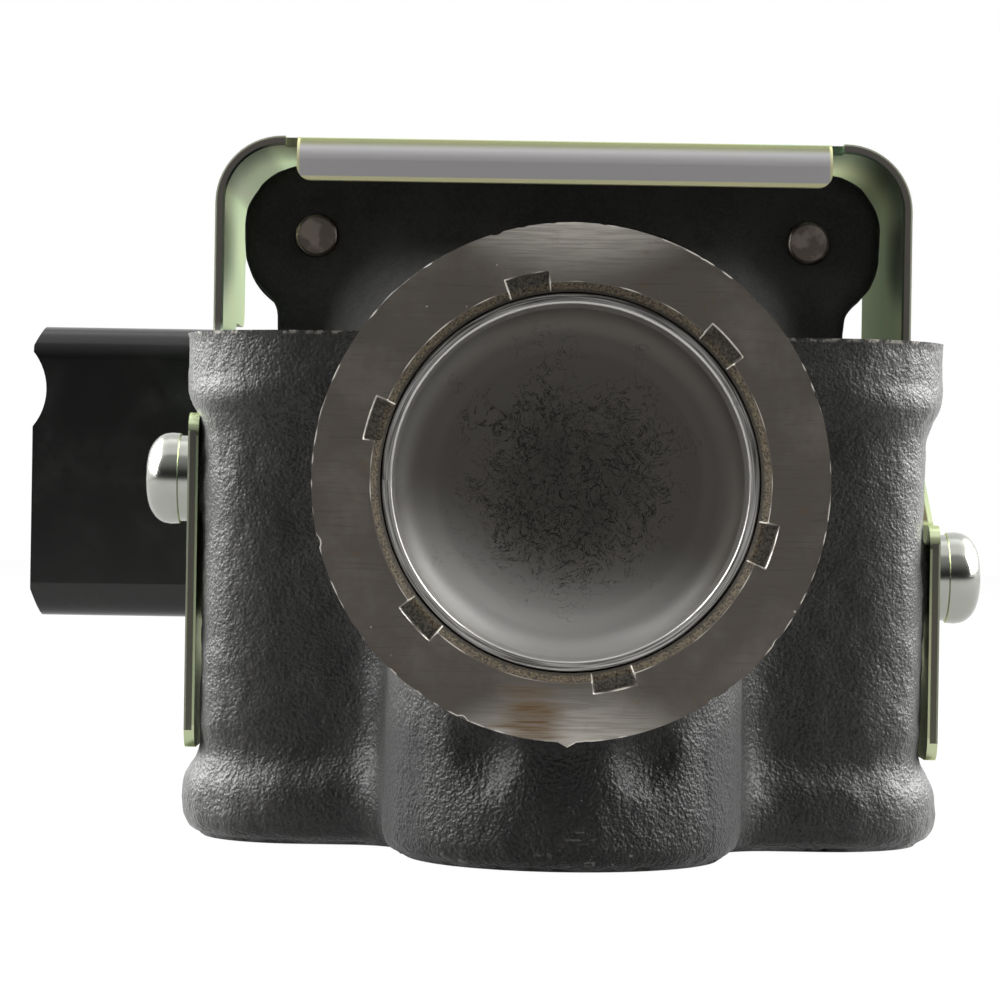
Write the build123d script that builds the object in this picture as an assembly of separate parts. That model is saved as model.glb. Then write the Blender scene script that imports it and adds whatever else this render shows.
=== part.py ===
from build123d import *
import os
from math import asin, cos, pi, radians, sin

# Engine exhaust gas recirculation valve: a cast iron body with a staked cup plug in front, a poppet
# valve pushed open by a linear stepper motor at the rear, and a sheet-metal heat shield over the motor.
# Millimetres. The stem runs along Y, +Y towards the motor. Z = 0 is the machined foot that bolts to
# the engine, and the origin is half way between the two mounting bolt holes.

# ---- shared ----
AXIS_Z = 38.0
FIT = 0.02
RUN = 0.05
LIFT = 6.0
M5_R = 2.5
OVERCUT = 1.0
NEAR = 0.1

# ---- casting: foot, bolt columns and waist ----
COLUMN_X = 27.5
COLUMN_R = 13.0
BLOCK_H = 53.5
WAIST_INSET = 1.9
FOOT_ROUND_R = 2.4
FOOT_COLLAR_H = 5.6
TOP_COLLAR_H = 6.1
COLLAR_BLEND_H = 4.0
BOLT_HOLE_R = 4.5

# ---- casting: port bulges ----
FRONT_BULGE_Y = -18.5
REAR_BULGE_Y = 17.5
BULGE_R = 18.4
BULGE_BLEND_R = 3.5
BULGE_TOP_Z = 30.0
DIMPLE_X = 8.2
DIMPLE_Z = 11.6
DIMPLE_R = 5.8
DIMPLE_DEPTH = 2.0

# ---- casting: barrel, ring and rear flange ----
RING_FACE_Y = -40.0
RING_R = 25.0
RING_T = 5.6
RING_CHAMFER = 0.25
BARREL_R = 22.5
RING_BACK_CHAMFER = 0.5
BARREL_FILLET = 1.5
NECK_START_Y = 11.0
NECK_MIDDLE_Y = 23.5
NECK_MIDDLE_HALF = 23.5
NECK_MIDDLE_CORNER_R = 18.5
FLARE_HALF = 29.0
FLARE_CORNER_R = 12.0
FLANGE_FRONT_Y = 30.0
FLANGE_REAR_Y = 37.0
FLANGE_HALF = 33.0
FLANGE_ROUND = 1.0
EAR_OFFSET = 28.5
EAR_HALF = 8.6
EAR_CORNER_R = 7.3
EAR_BLEND_R = 1.8

# ---- casting: machined bores ----
PLUG_BORE_R = 18.05
PLUG_RELIEF_R = 18.4
PLUG_MOUTH_R = 19.3
MOUTH_CHAMFER = 0.9
PLUG_RELIEF_DEPTH = 2.6
FRONT_CHAMBER_END_Y = -5.0
SEAT_POCKET_R = 16.0
SEAT_T = 4.0
THROAT_R = 12.5
THROAT_T = 1.0
THROAT_BEVEL = 1.0
REAR_CHAMBER_R = 14.5
REAR_CHAMBER_END_Y = 19.0
GUIDE_BOSS_R = 10.0
GUIDE_BOSS_START_Y = 14.0
BUSH_POCKET_R = 7.0
SPRING_POCKET_R = 15.5
SPRING_POCKET_Y = 27.0
SEAL_BOSS_R = 9.4
SEAL_BOSS_END_Y = 31.0
FRONT_PORT_Y = -18.0
FRONT_PORT_R = 12.0
REAR_PORT_Y = 10.5
REAR_PORT_R = 11.0
PORT_TOP_Z = 26.0

# ---- stake marks that lock the cup plug ----
STAKE_COUNT = 6
STAKE_START_DEG = 43.0
STAKE_INNER_R = 18.2
STAKE_OUTER_R = 20.4
STAKE_W = 4.3
STAKE_DEPTH = 1.2

# ---- cup plug ----
PLUG_RIM_Y = -38.2
PLUG_DEPTH = 6.8
PLUG_SHEET = 0.8
PLUG_BEND_R = 3.6

# ---- valve and stem ----
SEAT_BORE_R = 11.5
SEAT_CONE_R = 13.0
SEAT_CONE_H = 1.5
HEAD_R = 13.2
HEAD_EDGE_T = 1.4
HEAD_FACE_R = 9.2
HEAD_BEVEL_T = 1.0
HEAD_HUB_R = 5.2
HEAD_HUB_TAPER = 1.0
HEAD_HUB_START = 1.5
HEAD_HUB_END = 5.0
HEAD_GAP = 0.12
RIVET_H = 1.2
RIVET_BEVEL = 0.6
STEM_R = 3.5
STEM_END_Y = 46.9
CLIP_GROOVE_R = 2.8
CLIP_T = 0.8
CLIP_R = 5.6
CLIP_MOUTH = 3.2
STEM_TIP_R = 2.6
CLIP_LAND_R = 3.0
SCRAPER_T = 1.6
SCRAPER_BEVEL = 1.2
SEAL_LIP_R = 4.95
SEAL_LIP_START = 1.4
SEAL_LIP_END = 2.2
SEAL_REAR_R = 5.1
SEAL_START_Y = 26.0
SEAL_CAP_T = 0.38
SEAL_CAP_H = 2.4
SEAL_CAP_BORE_R = 4.1

# ---- return spring ----
SPRING_WIRE_R = 0.8
SPRING_MEAN_R = 12.2
SPRING_TURNS = 4.0
SPRING_SEAT_T = 0.8
RETAINER_Y = 42.4
RETAINER_T = 1.0
RETAINER_R = 14.4
RETAINER_HUB_R = 6.0
RETAINER_HUB_H = 3.0
RETAINER_DISH = 2.0
RETAINER_LIP_TAPER = 1.0
RETAINER_LIP_H = 2.2
SPRING_SEAT_OUTER_R = 15.2
SPRING_SEAT_INNER_R = 10.0
WIRE_SIDES = 8

# ---- motor bracket and housing ----
GASKET_T = 0.6
GASKET_INSET = 0.4
GASKET_HOLE_R = 16.5
SCREW_CLEARANCE = 0.3
BRACKET_PLATE_T = 6.0
BRACKET_HUB_R = 20.0
BRACKET_HUB_END_Y = 50.5
BEARING_SEAT_R = 13.0
BEARING_SEAT_END_Y = 55.0
BRACKET_FLOOR_Y = 47.6
SHAFT_BUSH_R = 5.0
HOUSING_EAR_T = 5.0
HOUSING_R = 30.0
HOUSING_BORE_R = 25.1
HOUSING_STEP = 0.5
HUB_CLEARANCE = 0.2
HOUSING_END_Y = 84.0
HOUSING_RIB_COUNT = 12
HOUSING_RIB_W = 1.6
HOUSING_RIB_H = 0.9
HOUSING_RIB_SETBACK = 3.0
CAP_T = 3.0
CAP_SPIGOT_Y = 80.0
CAP_HUB_Y = 76.9
CAP_SCREW_R = 27.6
CAP_SCREW_COUNT = 4
CAP_GROOVE_START = 1.0
CAP_GROOVE_END = 3.0
CAP_GROOVE_DEPTH = 1.5
CAP_DISH_R = 16.0
CAP_DISH_DEPTH = 0.8
CAP_EDGE = 1.0
O_RING_R = 0.73
M3_R = 1.5
M3_HEAD_R = 2.75
M3_HEAD_H = 2.1
M3_DEPTH = 6.0
M3_CLEARANCE = 0.2

# ---- motor works ----
BEARING_OUTER_R = 9.5
BEARING_INNER_R = 4.5
BEARING_W = 4.0
REAR_BEARING_Y = 77.0
WAVE_WASHER_T = 0.5
WAVE_WASHER_W = 2.1
BEARING_RACE_W = 1.3
BEARING_SHIELD_INSET = 0.4
BEARING_CLEARANCE = 0.3
SHAFT_R = 3.0
SHAFT_NOSE_Y = 47.0
SHAFT_END_Y = 76.0
SHAFT_FLAT = 0.5
SHAFT_NOSE_R = 1.4
SHAFT_NOSE_DOME_R = 2.4
SHAFT_NOSE_DOME = 0.5
SHAFT_NOSE_LENGTH = 1.4
SHAFT_CHAMFER = 0.6
SHAFT_SPAN = 9.0
HUB_R = 6.0
HUB_START_Y = 51.2
HUB_END_Y = 80.6
HUB_UNDERCUT = 0.9
MAGNET_R = 12.5
MAGNET_START_Y = 57.5
MAGNET_END_Y = 75.5
STATOR_BORE_R = 13.2
STATOR_WALL = 1.4
STATOR_START_Y = 56.6
STATOR_LENGTH = 9.8
STATOR_GAP = 0.3
COIL_INNER_R = 15.2
COIL_OUTER_R = 22.8
WORKS_GAP = 0.1

# ---- connector ----
CONNECTOR_END_X = -63.3
CONNECTOR_ROOT_X = 23.1
CONNECTOR_Y = (46.2, 65.2)
CONNECTOR_Z = (21.4, 56.4)
CONNECTOR_CORNER_R = 4.0
CONNECTOR_WALL = 2.0
SOCKET_FLOOR_X = -45.0
SCOOP_DEPTH = 1.6
SCOOP_Z = 48.7
SCOOP_HALF_H = 4.5
MOUTH_BEVEL = 1.1
MOUTH_BEVEL_TOP = 2.4
MOUTH_BEVEL_BOTTOM = 3.2
PIN_ROWS_Y = (52.2, 59.2)
PIN_Z = (29.9, 38.9, 47.9)
PIN_TIP_X = -55.0
PIN_ROOT_X = -43.0
PIN_W = 1.5
PIN_BEVEL = 0.4
LATCH_W = 6.0
LATCH_H = 1.6
LATCH_START_X = -59.5
LATCH_PEAK_X = -55.0
LATCH_END_X = -54.0
LATCH_ROOT = 0.5

# ---- heat shield ----
SHEET_T = 1.1
SHIELD_HALF = 39.9
SHIELD_TOP_Z = 77.5
SHIELD_CORNER_R = 7.7
SHIELD_FRONT_Y = 23.5
SHIELD_REAR_Y = 69.0
LIP_HALF_W = 30.6
LIP_H = 5.1
LIP_BEND_R = 1.6
LIP_CORNER_R = 1.6
LIP_ROOT = 7.0
CHANNEL_DEPTH = 90.0
NOTCH_W = 1.35
NOTCH_DEPTH = 3.2
LEG_CORNER_R = 2.5
SHIELD_HOLE_R = 2.8
TAB_FRONT_Y = -5.5
TAB_TOP_Z = 45.0
TAB_GAP = 0.2
LEFT_TAB_BOTTOM_Z = 9.4
RIGHT_TAB_BOTTOM_Z = 9.2
RIGHT_TAB_TOP_Z = 34.2
LEFT_SCREW_Z = 38.0
RIGHT_SCREW_Z = 28.6
SCREW_PAD_R = 4.2
SHIELD_SCREW_TIP_X = 33.9

# Side view of each leg in (y, z): tab, sloped front edge, front edge, rear edge, and back along the bottom.
LEG_TOP_Z = SHIELD_TOP_Z + 5
LEG_FRONT_Y = SHIELD_FRONT_Y + SHEET_T
LEFT_LEG = (
    (TAB_FRONT_Y, LEFT_TAB_BOTTOM_Z),
    (TAB_FRONT_Y, TAB_TOP_Z),
    (8.0, TAB_TOP_Z),
    (LEG_FRONT_Y, 55.0),
    (LEG_FRONT_Y, LEG_TOP_Z),
    (SHIELD_REAR_Y, LEG_TOP_Z),
    (SHIELD_REAR_Y, 68.5),
    (58.0, 65.5),
    (58.0, 57.0),
    (43.5, 57.0),
    (43.5, 17.0),
    (22.0, LEFT_TAB_BOTTOM_Z),
)
RIGHT_LEG = (
    (TAB_FRONT_Y, RIGHT_TAB_BOTTOM_Z),
    (TAB_FRONT_Y, RIGHT_TAB_TOP_Z),
    (1.0, RIGHT_TAB_TOP_Z),
    (LEG_FRONT_Y, 48.0),
    (LEG_FRONT_Y, LEG_TOP_Z),
    (SHIELD_REAR_Y, LEG_TOP_Z),
    (SHIELD_REAR_Y, 40.0),
    (50.0, 18.0),
    (22.0, RIGHT_TAB_BOTTOM_Z),
)

# ---- fasteners ----
PAN_HEAD_R = 4.9
PAN_HEAD_H = 3.8
SPRING_WASHER_R = 4.6
SPRING_WASHER_T = 1.1
SPRING_WASHER_GAP = 0.9
CROSS_W = 1.2
CROSS_SPAN = 5.2
CROSS_DEPTH = 2.2
CROSS_TIP_SPAN = 2.34
CROSS_TIP_W = 0.96
CROWN_PROFILE = ((0, 1.0), (0.3, 0.96), (0.62, 0.85), (0.9, 0.55), (1.0, 0.3))
SCREW_TIP_Y = 29.3
TIP_CHAMFER = 0.4
HEAD_EDGE = 0.1
TIP_ROOM = 0.5

STEM_AXIS = Axis((0, 0, AXIS_Z), (0, 1, 0))
HEAD_FACE_Y = FRONT_CHAMBER_END_Y - HEAD_GAP
HEAD_FRONT_Y = HEAD_FACE_Y - HEAD_EDGE_T - HEAD_BEVEL_T
CLIP_START_Y = RETAINER_Y + RETAINER_T + RETAINER_LIP_H
GASKET_END_Y = FLANGE_REAR_Y + GASKET_T
PLATE_END_Y = GASKET_END_Y + BRACKET_PLATE_T
EAR_END_Y = PLATE_END_Y + HOUSING_EAR_T
SHIELD_INNER = SHIELD_HALF - SHEET_T
EAR_CENTRES = [(x * EAR_OFFSET, z * EAR_OFFSET) for x in (-1, 1) for z in (-1, 1)]


# ---------------------------------------------------------------- helpers
def turned(*outline):
    """Solid of revolution about the stem axis, from (radius, y) points."""
    profile = Pos(0, 0, AXIS_Z) * make_face(Polyline(*outline, close=True))
    return revolve(profile, STEM_AXIS, 360)


def tube(outer_r, inner_r, start_y, end_y):
    """Plain ring about the stem axis."""
    return turned((inner_r, start_y), (outer_r, start_y), (outer_r, end_y), (inner_r, end_y))


def disc(radius, start_y, end_y):
    """Plain cylinder about the stem axis."""
    return turned((0, start_y), (radius, start_y), (radius, end_y), (0, end_y))


def across(y):
    """Plane square to the stem axis at y: local x is +X, local y is +Z, and its normal is -Y."""
    return Plane(origin=(0, y, AXIS_Z), x_dir=(1, 0, 0), z_dir=(0, -1, 0))


def slab(sketch, start_y, end_y):
    """Sketch drawn across the stem axis, extruded from start_y to end_y."""
    return extrude(across(end_y) * sketch, end_y - start_y)


def rod(radius, start, end):
    """Round rod between two points."""
    path = Vector(*end) - Vector(*start)
    return extrude(Plane(origin=start, z_dir=path) * Circle(radius), path.length)


def block(x, y, z):
    """Box from three (low, high) spans."""
    size = [high - low for low, high in (x, y, z)]
    middle = [(high + low) / 2 for low, high in (x, y, z)]
    return Pos(*middle) * Box(*size)


def ear_holes(radius, start_y, end_y):
    """Rods on the four screw axes, to cut clearance holes."""
    return [rod(radius, (x, start_y, AXIS_Z + z), (x, end_y, AXIS_Z + z)) for x, z in EAR_CENTRES]


def save(name, shape):
    """Writes one node."""
    export_step(shape, f"parts/{name}.step")


# ---------------------------------------------------------------- casting
def column_plan(inset):
    """Outline of the bolt columns and the web between them, from above."""
    return SlotOverall(2 * (COLUMN_X + COLUMN_R - inset), 2 * (COLUMN_R - inset))


def foot_plan(inset, bulge_inset):
    """Foot outline from above: the columns and both port bulges, which keep their width at the waist."""
    plan = column_plan(inset)
    for y in (FRONT_BULGE_Y, REAR_BULGE_Y):
        plan += Pos(0, y) * Circle(BULGE_R - bulge_inset)
    inner_corners = plan.vertices().filter_by(lambda v: abs(v.X) < COLUMN_X - NEAR)
    return fillet(inner_corners, BULGE_BLEND_R + bulge_inset)


def blend(start_z, end_z, start_inset, end_inset, steps=4):
    """S-shaped run of (z, inset) stations between two insets."""
    stations = []
    for i in range(steps + 1):
        t = i / steps
        ease = (1 - cos(pi * t)) / 2
        stations.append((start_z + (end_z - start_z) * t, start_inset + (end_inset - start_inset) * ease))
    return stations


def foot_round(steps=3):
    """Quarter-round stations at the bottom edge of the foot."""
    stations = []
    for i in range(steps + 1):
        angle = pi / 2 * i / steps
        stations.append((FOOT_ROUND_R * (1 - cos(angle)), FOOT_ROUND_R * (1 - sin(angle))))
    return stations


def cast_block():
    """Foot, waist and top collar of the casting, with both port bulges."""
    waist_start = FOOT_COLLAR_H + COLLAR_BLEND_H
    waist_end = BLOCK_H - TOP_COLLAR_H - COLLAR_BLEND_H
    sections = [Pos(0, 0, z) * foot_plan(inset, inset) for z, inset in foot_round()]
    waist = blend(FOOT_COLLAR_H, waist_start, 0, WAIST_INSET) + [(BULGE_TOP_Z, WAIST_INSET)]
    sections += [Pos(0, 0, z) * foot_plan(inset, 0) for z, inset in waist]
    upper = blend(waist_end, BLOCK_H - TOP_COLLAR_H, WAIST_INSET, 0) + [(BLOCK_H, 0)]
    top_sections = [Pos(0, 0, z) * column_plan(inset) for z, inset in [(BULGE_TOP_Z, WAIST_INSET)] + upper]
    return loft(sections, ruled=True) + loft(top_sections, ruled=True)


def cast_barrel():
    """Ring flange and barrel about the stem, and the neck that flares out to the rear flange."""
    back = RING_FACE_Y + RING_T
    ring = turned(
        (0, RING_FACE_Y),
        (RING_R - RING_CHAMFER, RING_FACE_Y),
        (RING_R, RING_FACE_Y + RING_CHAMFER),
        (RING_R, back - RING_BACK_CHAMFER),
        (RING_R - RING_BACK_CHAMFER, back),
        (BARREL_R + BARREL_FILLET, back),
        (BARREL_R, back + BARREL_FILLET),
        (BARREL_R, NECK_START_Y + OVERCUT),
        (0, NECK_START_Y + OVERCUT),
    )
    small = across(NECK_START_Y) * RectangleRounded(2 * BARREL_R, 2 * BARREL_R, BARREL_R - NEAR)
    middle_w = 2 * NECK_MIDDLE_HALF
    middle = across(NECK_MIDDLE_Y) * RectangleRounded(middle_w, middle_w, NECK_MIDDLE_CORNER_R)
    large_w = 2 * FLARE_HALF
    large = across(FLANGE_FRONT_Y + OVERCUT) * RectangleRounded(large_w, large_w, FLARE_CORNER_R)
    neck = loft([small, middle, large], ruled=True)
    return ring + neck


def flange_outline():
    """Square flange with a rounded ear round each of its four screws; a straight edge joins the top two."""
    outline = Rectangle(2 * FLANGE_HALF, 2 * FLANGE_HALF)
    outline += Pos(0, EAR_OFFSET) * Rectangle(2 * EAR_OFFSET, 2 * EAR_HALF)
    for x, z in EAR_CENTRES:
        outline += Pos(x, z) * RectangleRounded(2 * EAR_HALF, 2 * EAR_HALF, EAR_CORNER_R)
    inner_corners = outline.vertices().filter_by(
        lambda v: min(abs(v.X), abs(v.Y)) < EAR_OFFSET and abs(max(abs(v.X), abs(v.Y)) - FLANGE_HALF) < NEAR
    )
    return fillet(inner_corners, EAR_BLEND_R)


def cast_flange():
    """Rear flange with a rounded front edge."""
    flange = slab(flange_outline(), FLANGE_FRONT_Y, FLANGE_REAR_Y)
    front_edges = flange.faces().sort_by(Axis.Y)[0].edges()
    return fillet(front_edges, FLANGE_ROUND)


def front_dimples():
    """Bell-shaped tools for the two hollows under the ring, beside the middle of the front bulge."""
    bottom = (0, -DIMPLE_DEPTH)
    rim = (DIMPLE_R, 0)
    bell = Spline(bottom, rim, tangents=((1, 0), (1, 0)))
    rest = Polyline(rim, (DIMPLE_R, DIMPLE_DEPTH), (0, DIMPLE_DEPTH), bottom)
    tool = revolve(Plane.XZ * make_face(bell + rest), Axis.Z, 360)
    turn = asin(DIMPLE_X / BULGE_R)
    places = []
    for side in (-1, 1):
        outwards = (side * sin(turn), -cos(turn), 0)
        origin = (side * BULGE_R * sin(turn), FRONT_BULGE_Y - BULGE_R * cos(turn), DIMPLE_Z)
        places.append(Plane(origin=origin, x_dir=(0, 0, 1), z_dir=outwards).location)
    return [place * tool for place in places]


def gas_ways():
    """Everything bored or cored along the stem axis."""
    seat_end = FRONT_CHAMBER_END_Y + SEAT_T
    front = turned(
        (0, RING_FACE_Y - OVERCUT),
        (PLUG_MOUTH_R, RING_FACE_Y - OVERCUT),
        (PLUG_MOUTH_R, RING_FACE_Y),
        (PLUG_RELIEF_R, RING_FACE_Y + MOUTH_CHAMFER),
        (PLUG_RELIEF_R, RING_FACE_Y + PLUG_RELIEF_DEPTH),
        (PLUG_BORE_R, RING_FACE_Y + PLUG_RELIEF_DEPTH),
        (PLUG_BORE_R, FRONT_CHAMBER_END_Y),
        (SEAT_POCKET_R + FIT, FRONT_CHAMBER_END_Y),
        (SEAT_POCKET_R + FIT, seat_end),
        (THROAT_R, seat_end),
        (THROAT_R, seat_end + THROAT_T),
        (REAR_CHAMBER_R, seat_end + THROAT_T + THROAT_BEVEL),
        (REAR_CHAMBER_R, REAR_CHAMBER_END_Y),
        (GUIDE_BOSS_R, REAR_CHAMBER_END_Y),
        (GUIDE_BOSS_R, GUIDE_BOSS_START_Y),
        (0, GUIDE_BOSS_START_Y),
    )
    bush_pocket = disc(BUSH_POCKET_R + FIT, GUIDE_BOSS_START_Y - OVERCUT, SEAL_BOSS_END_Y + OVERCUT)
    spring_pocket = tube(SPRING_POCKET_R, SEAL_BOSS_R, SPRING_POCKET_Y, SEAL_BOSS_END_Y)
    spring_pocket += disc(SPRING_POCKET_R, SEAL_BOSS_END_Y, FLANGE_REAR_Y + OVERCUT)
    return front + bush_pocket + spring_pocket


def stake_marks():
    """Six rectangular punch marks that push ring metal over the cup plug's rim."""
    middle_r = (STAKE_INNER_R + STAKE_OUTER_R) / 2
    mark = slab(
        Pos(middle_r, 0) * Rectangle(STAKE_OUTER_R - STAKE_INNER_R, STAKE_W),
        RING_FACE_Y - OVERCUT,
        RING_FACE_Y + STAKE_DEPTH,
    )
    step = 360 / STAKE_COUNT
    return [mark.rotate(STEM_AXIS, -(STAKE_START_DEG + step * k)) for k in range(STAKE_COUNT)]


def side_sign_and_height():
    """Side and height of each shield screw."""
    return ((-1, LEFT_SCREW_Z), (1, RIGHT_SCREW_Z))


def make_valve_body():
    """Cast iron body: foot and columns, port bulges, ring, flange, and all its bores."""
    body = cast_block()
    for hollow in front_dimples():
        body -= hollow
    body += cast_barrel() + cast_flange()
    seat_x = (-SHIELD_HALF - OVERCUT, -SHIELD_INNER)
    seat_z = (LEFT_TAB_BOTTOM_Z - TAB_GAP, TAB_TOP_Z + TAB_GAP)
    body -= block(seat_x, (TAB_FRONT_Y - OVERCUT, COLUMN_R), seat_z)
    for side, z in side_sign_and_height():
        body += rod(SCREW_PAD_R, (side * COLUMN_X, 0, z), (side * SHIELD_INNER, 0, z))
    body -= gas_ways()
    body -= extrude(Pos(0, FRONT_PORT_Y) * Circle(FRONT_PORT_R), PORT_TOP_Z)
    body -= extrude(Pos(0, REAR_PORT_Y) * Circle(REAR_PORT_R), PORT_TOP_Z)
    for side, z in side_sign_and_height():
        body -= extrude(Pos(side * COLUMN_X, 0) * Circle(BOLT_HOLE_R), BLOCK_H)
        body -= rod(M5_R + FIT, (side * SHIELD_HALF, 0, z), (side * (SHIELD_SCREW_TIP_X - TIP_ROOM), 0, z))
    for hole in ear_holes(M5_R + FIT, FLANGE_FRONT_Y - OVERCUT, FLANGE_REAR_Y + OVERCUT):
        body -= hole
    for mark in stake_marks():
        body -= mark
    return body


def make_cup_plug():
    """Pressed steel cup, open side out, that closes the front chamber."""
    floor_y = PLUG_RIM_Y + PLUG_DEPTH
    outer_r = PLUG_BORE_R - FIT
    inner_r = outer_r - PLUG_SHEET
    cup = disc(outer_r, PLUG_RIM_Y, floor_y)
    cup = fillet(cup.edges().sort_by(Axis.Y)[-1], PLUG_BEND_R)
    hollow = disc(inner_r, PLUG_RIM_Y - OVERCUT, floor_y - PLUG_SHEET)
    hollow = fillet(hollow.edges().sort_by(Axis.Y)[-1], PLUG_BEND_R - PLUG_SHEET)
    return cup - hollow


# ---------------------------------------------------------------- valve
def make_valve_seat():
    """Hardened ring pressed into the wall between the chambers, with a conical seat in front."""
    start = FRONT_CHAMBER_END_Y
    end = start + SEAT_T
    return turned(
        (SEAT_CONE_R, start),
        (SEAT_POCKET_R, start),
        (SEAT_POCKET_R, end),
        (SEAT_BORE_R, end),
        (SEAT_BORE_R, start + SEAT_CONE_H),
    )


def make_valve_head():
    """Poppet with a conical face that closes on the seat, and a hub on the stem."""
    back = HEAD_FACE_Y + SEAT_CONE_H
    return turned(
        (STEM_R + FIT, HEAD_FRONT_Y),
        (HEAD_FACE_R, HEAD_FRONT_Y),
        (HEAD_R, HEAD_FRONT_Y + HEAD_BEVEL_T),
        (HEAD_R, HEAD_FACE_Y),
        (SEAT_CONE_R - WORKS_GAP, HEAD_FACE_Y),
        (SEAT_BORE_R - WORKS_GAP, back),
        (HEAD_HUB_R, back + HEAD_HUB_START),
        (HEAD_HUB_R - HEAD_HUB_TAPER, back + HEAD_HUB_END),
        (STEM_R + FIT, back + HEAD_HUB_END),
    )


def make_valve_stem():
    """Ground stem with a riveted front end and a clip groove at the motor end."""
    rivet = HEAD_FRONT_Y - RIVET_H
    groove_end = CLIP_START_Y + CLIP_T
    return turned(
        (0, rivet),
        (STEM_R - RIVET_BEVEL, rivet),
        (STEM_R, rivet + RIVET_BEVEL),
        (STEM_R, CLIP_START_Y),
        (CLIP_GROOVE_R, CLIP_START_Y),
        (CLIP_GROOVE_R, groove_end),
        (CLIP_LAND_R, groove_end),
        (STEM_TIP_R, STEM_END_Y),
        (0, STEM_END_Y),
    )


def make_stem_scraper():
    """Steel ring at the hot end of the guide that keeps soot off the stem."""
    start = GUIDE_BOSS_START_Y
    return turned(
        (STEM_R + RUN, start),
        (BUSH_POCKET_R, start),
        (BUSH_POCKET_R, start + SCRAPER_T),
        (STEM_R + RUN + SCRAPER_BEVEL, start + SCRAPER_T),
    )


def make_stem_bush():
    """Sintered guide bush for the stem."""
    start = GUIDE_BOSS_START_Y + SCRAPER_T
    return tube(BUSH_POCKET_R, STEM_R + RUN, start, SEAL_START_Y)


def make_stem_seal():
    """Rubber lip seal behind the guide bush."""
    return turned(
        (SEAL_LIP_R, SEAL_START_Y),
        (BUSH_POCKET_R, SEAL_START_Y),
        (BUSH_POCKET_R, SEAL_BOSS_END_Y),
        (SEAL_REAR_R, SEAL_BOSS_END_Y),
        (STEM_R + RUN, SEAL_START_Y + SEAL_LIP_END),
        (STEM_R + RUN, SEAL_START_Y + SEAL_LIP_START),
    )


def make_seal_cap():
    """Thin steel cap pressed over the seal boss."""
    inner_r = SEAL_BOSS_R + FIT
    return turned(
        (SEAL_CAP_BORE_R, SEAL_BOSS_END_Y),
        (inner_r, SEAL_BOSS_END_Y),
        (inner_r, SEAL_BOSS_END_Y - SEAL_CAP_H),
        (inner_r + SEAL_CAP_T, SEAL_BOSS_END_Y - SEAL_CAP_H),
        (inner_r + SEAL_CAP_T, SEAL_BOSS_END_Y + SEAL_CAP_T),
        (SEAL_CAP_BORE_R, SEAL_BOSS_END_Y + SEAL_CAP_T),
    )


def make_spring_seat():
    """Washer under the fixed end of the return spring."""
    return tube(SPRING_SEAT_OUTER_R, SPRING_SEAT_INNER_R, SPRING_POCKET_Y, SPRING_POCKET_Y + SPRING_SEAT_T)


def make_return_spring():
    """Round-wire compression spring round the stem."""
    start = SPRING_POCKET_Y + SPRING_SEAT_T + SPRING_WIRE_R
    length = RETAINER_Y - SPRING_WIRE_R - start
    pitch = length / SPRING_TURNS
    coil = Helix(pitch, length, SPRING_MEAN_R, center=(0, start, AXIS_Z), direction=(0, 1, 0))
    section = Plane(origin=coil @ 0, z_dir=coil % 0) * RegularPolygon(SPRING_WIRE_R - RUN, WIRE_SIDES)
    return sweep(section, coil, is_frenet=True)


def make_spring_retainer():
    """Dished washer on the stem that takes the moving end of the return spring."""
    top = RETAINER_Y + RETAINER_T
    return turned(
        (STEM_R + FIT, RETAINER_Y - RETAINER_HUB_H),
        (RETAINER_HUB_R, RETAINER_Y - RETAINER_HUB_H),
        (RETAINER_HUB_R + RETAINER_DISH, RETAINER_Y),
        (RETAINER_R, RETAINER_Y),
        (RETAINER_R, top),
        (RETAINER_HUB_R, top),
        (RETAINER_HUB_R - RETAINER_LIP_TAPER, CLIP_START_Y),
        (STEM_R + FIT, CLIP_START_Y),
    )


def make_stem_clip():
    """C-shaped clip in the stem's groove."""
    end = CLIP_START_Y + CLIP_T
    ring = tube(CLIP_R, CLIP_GROOVE_R + FIT, CLIP_START_Y, end)
    half = CLIP_MOUTH / 2
    mouth_z = (AXIS_Z - CLIP_R - OVERCUT, AXIS_Z)
    return ring - block((-half, half), (CLIP_START_Y - OVERCUT, end + OVERCUT), mouth_z)


# ---------------------------------------------------------------- motor
def make_flange_gasket():
    """Flat gasket between the casting and the motor bracket."""
    gasket = slab(offset(flange_outline(), -GASKET_INSET), FLANGE_REAR_Y, GASKET_END_Y)
    gasket -= disc(GASKET_HOLE_R, FLANGE_REAR_Y - OVERCUT, GASKET_END_Y + OVERCUT)
    for hole in ear_holes(M5_R + SCREW_CLEARANCE, FLANGE_REAR_Y - OVERCUT, GASKET_END_Y + OVERCUT):
        gasket -= hole
    return gasket


def make_motor_bracket():
    """Aluminium bracket between the hot casting and the motor; it also holds the front bearing."""
    bracket = slab(flange_outline(), GASKET_END_Y, PLATE_END_Y)
    bracket += disc(BRACKET_HUB_R, PLATE_END_Y, BRACKET_HUB_END_Y)
    bracket += disc(BEARING_SEAT_R, BRACKET_HUB_END_Y, BEARING_SEAT_END_Y)
    bracket -= disc(SPRING_POCKET_R, GASKET_END_Y - OVERCUT, BRACKET_FLOOR_Y)
    bracket -= disc(SHAFT_BUSH_R + FIT, BRACKET_FLOOR_Y - OVERCUT, BRACKET_HUB_END_Y + OVERCUT)
    bracket -= disc(BEARING_OUTER_R + FIT, BEARING_SEAT_END_Y - BEARING_W, BEARING_SEAT_END_Y + OVERCUT)
    for hole in ear_holes(M5_R + SCREW_CLEARANCE, GASKET_END_Y - OVERCUT, PLATE_END_Y + OVERCUT):
        bracket -= hole
    return bracket


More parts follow.
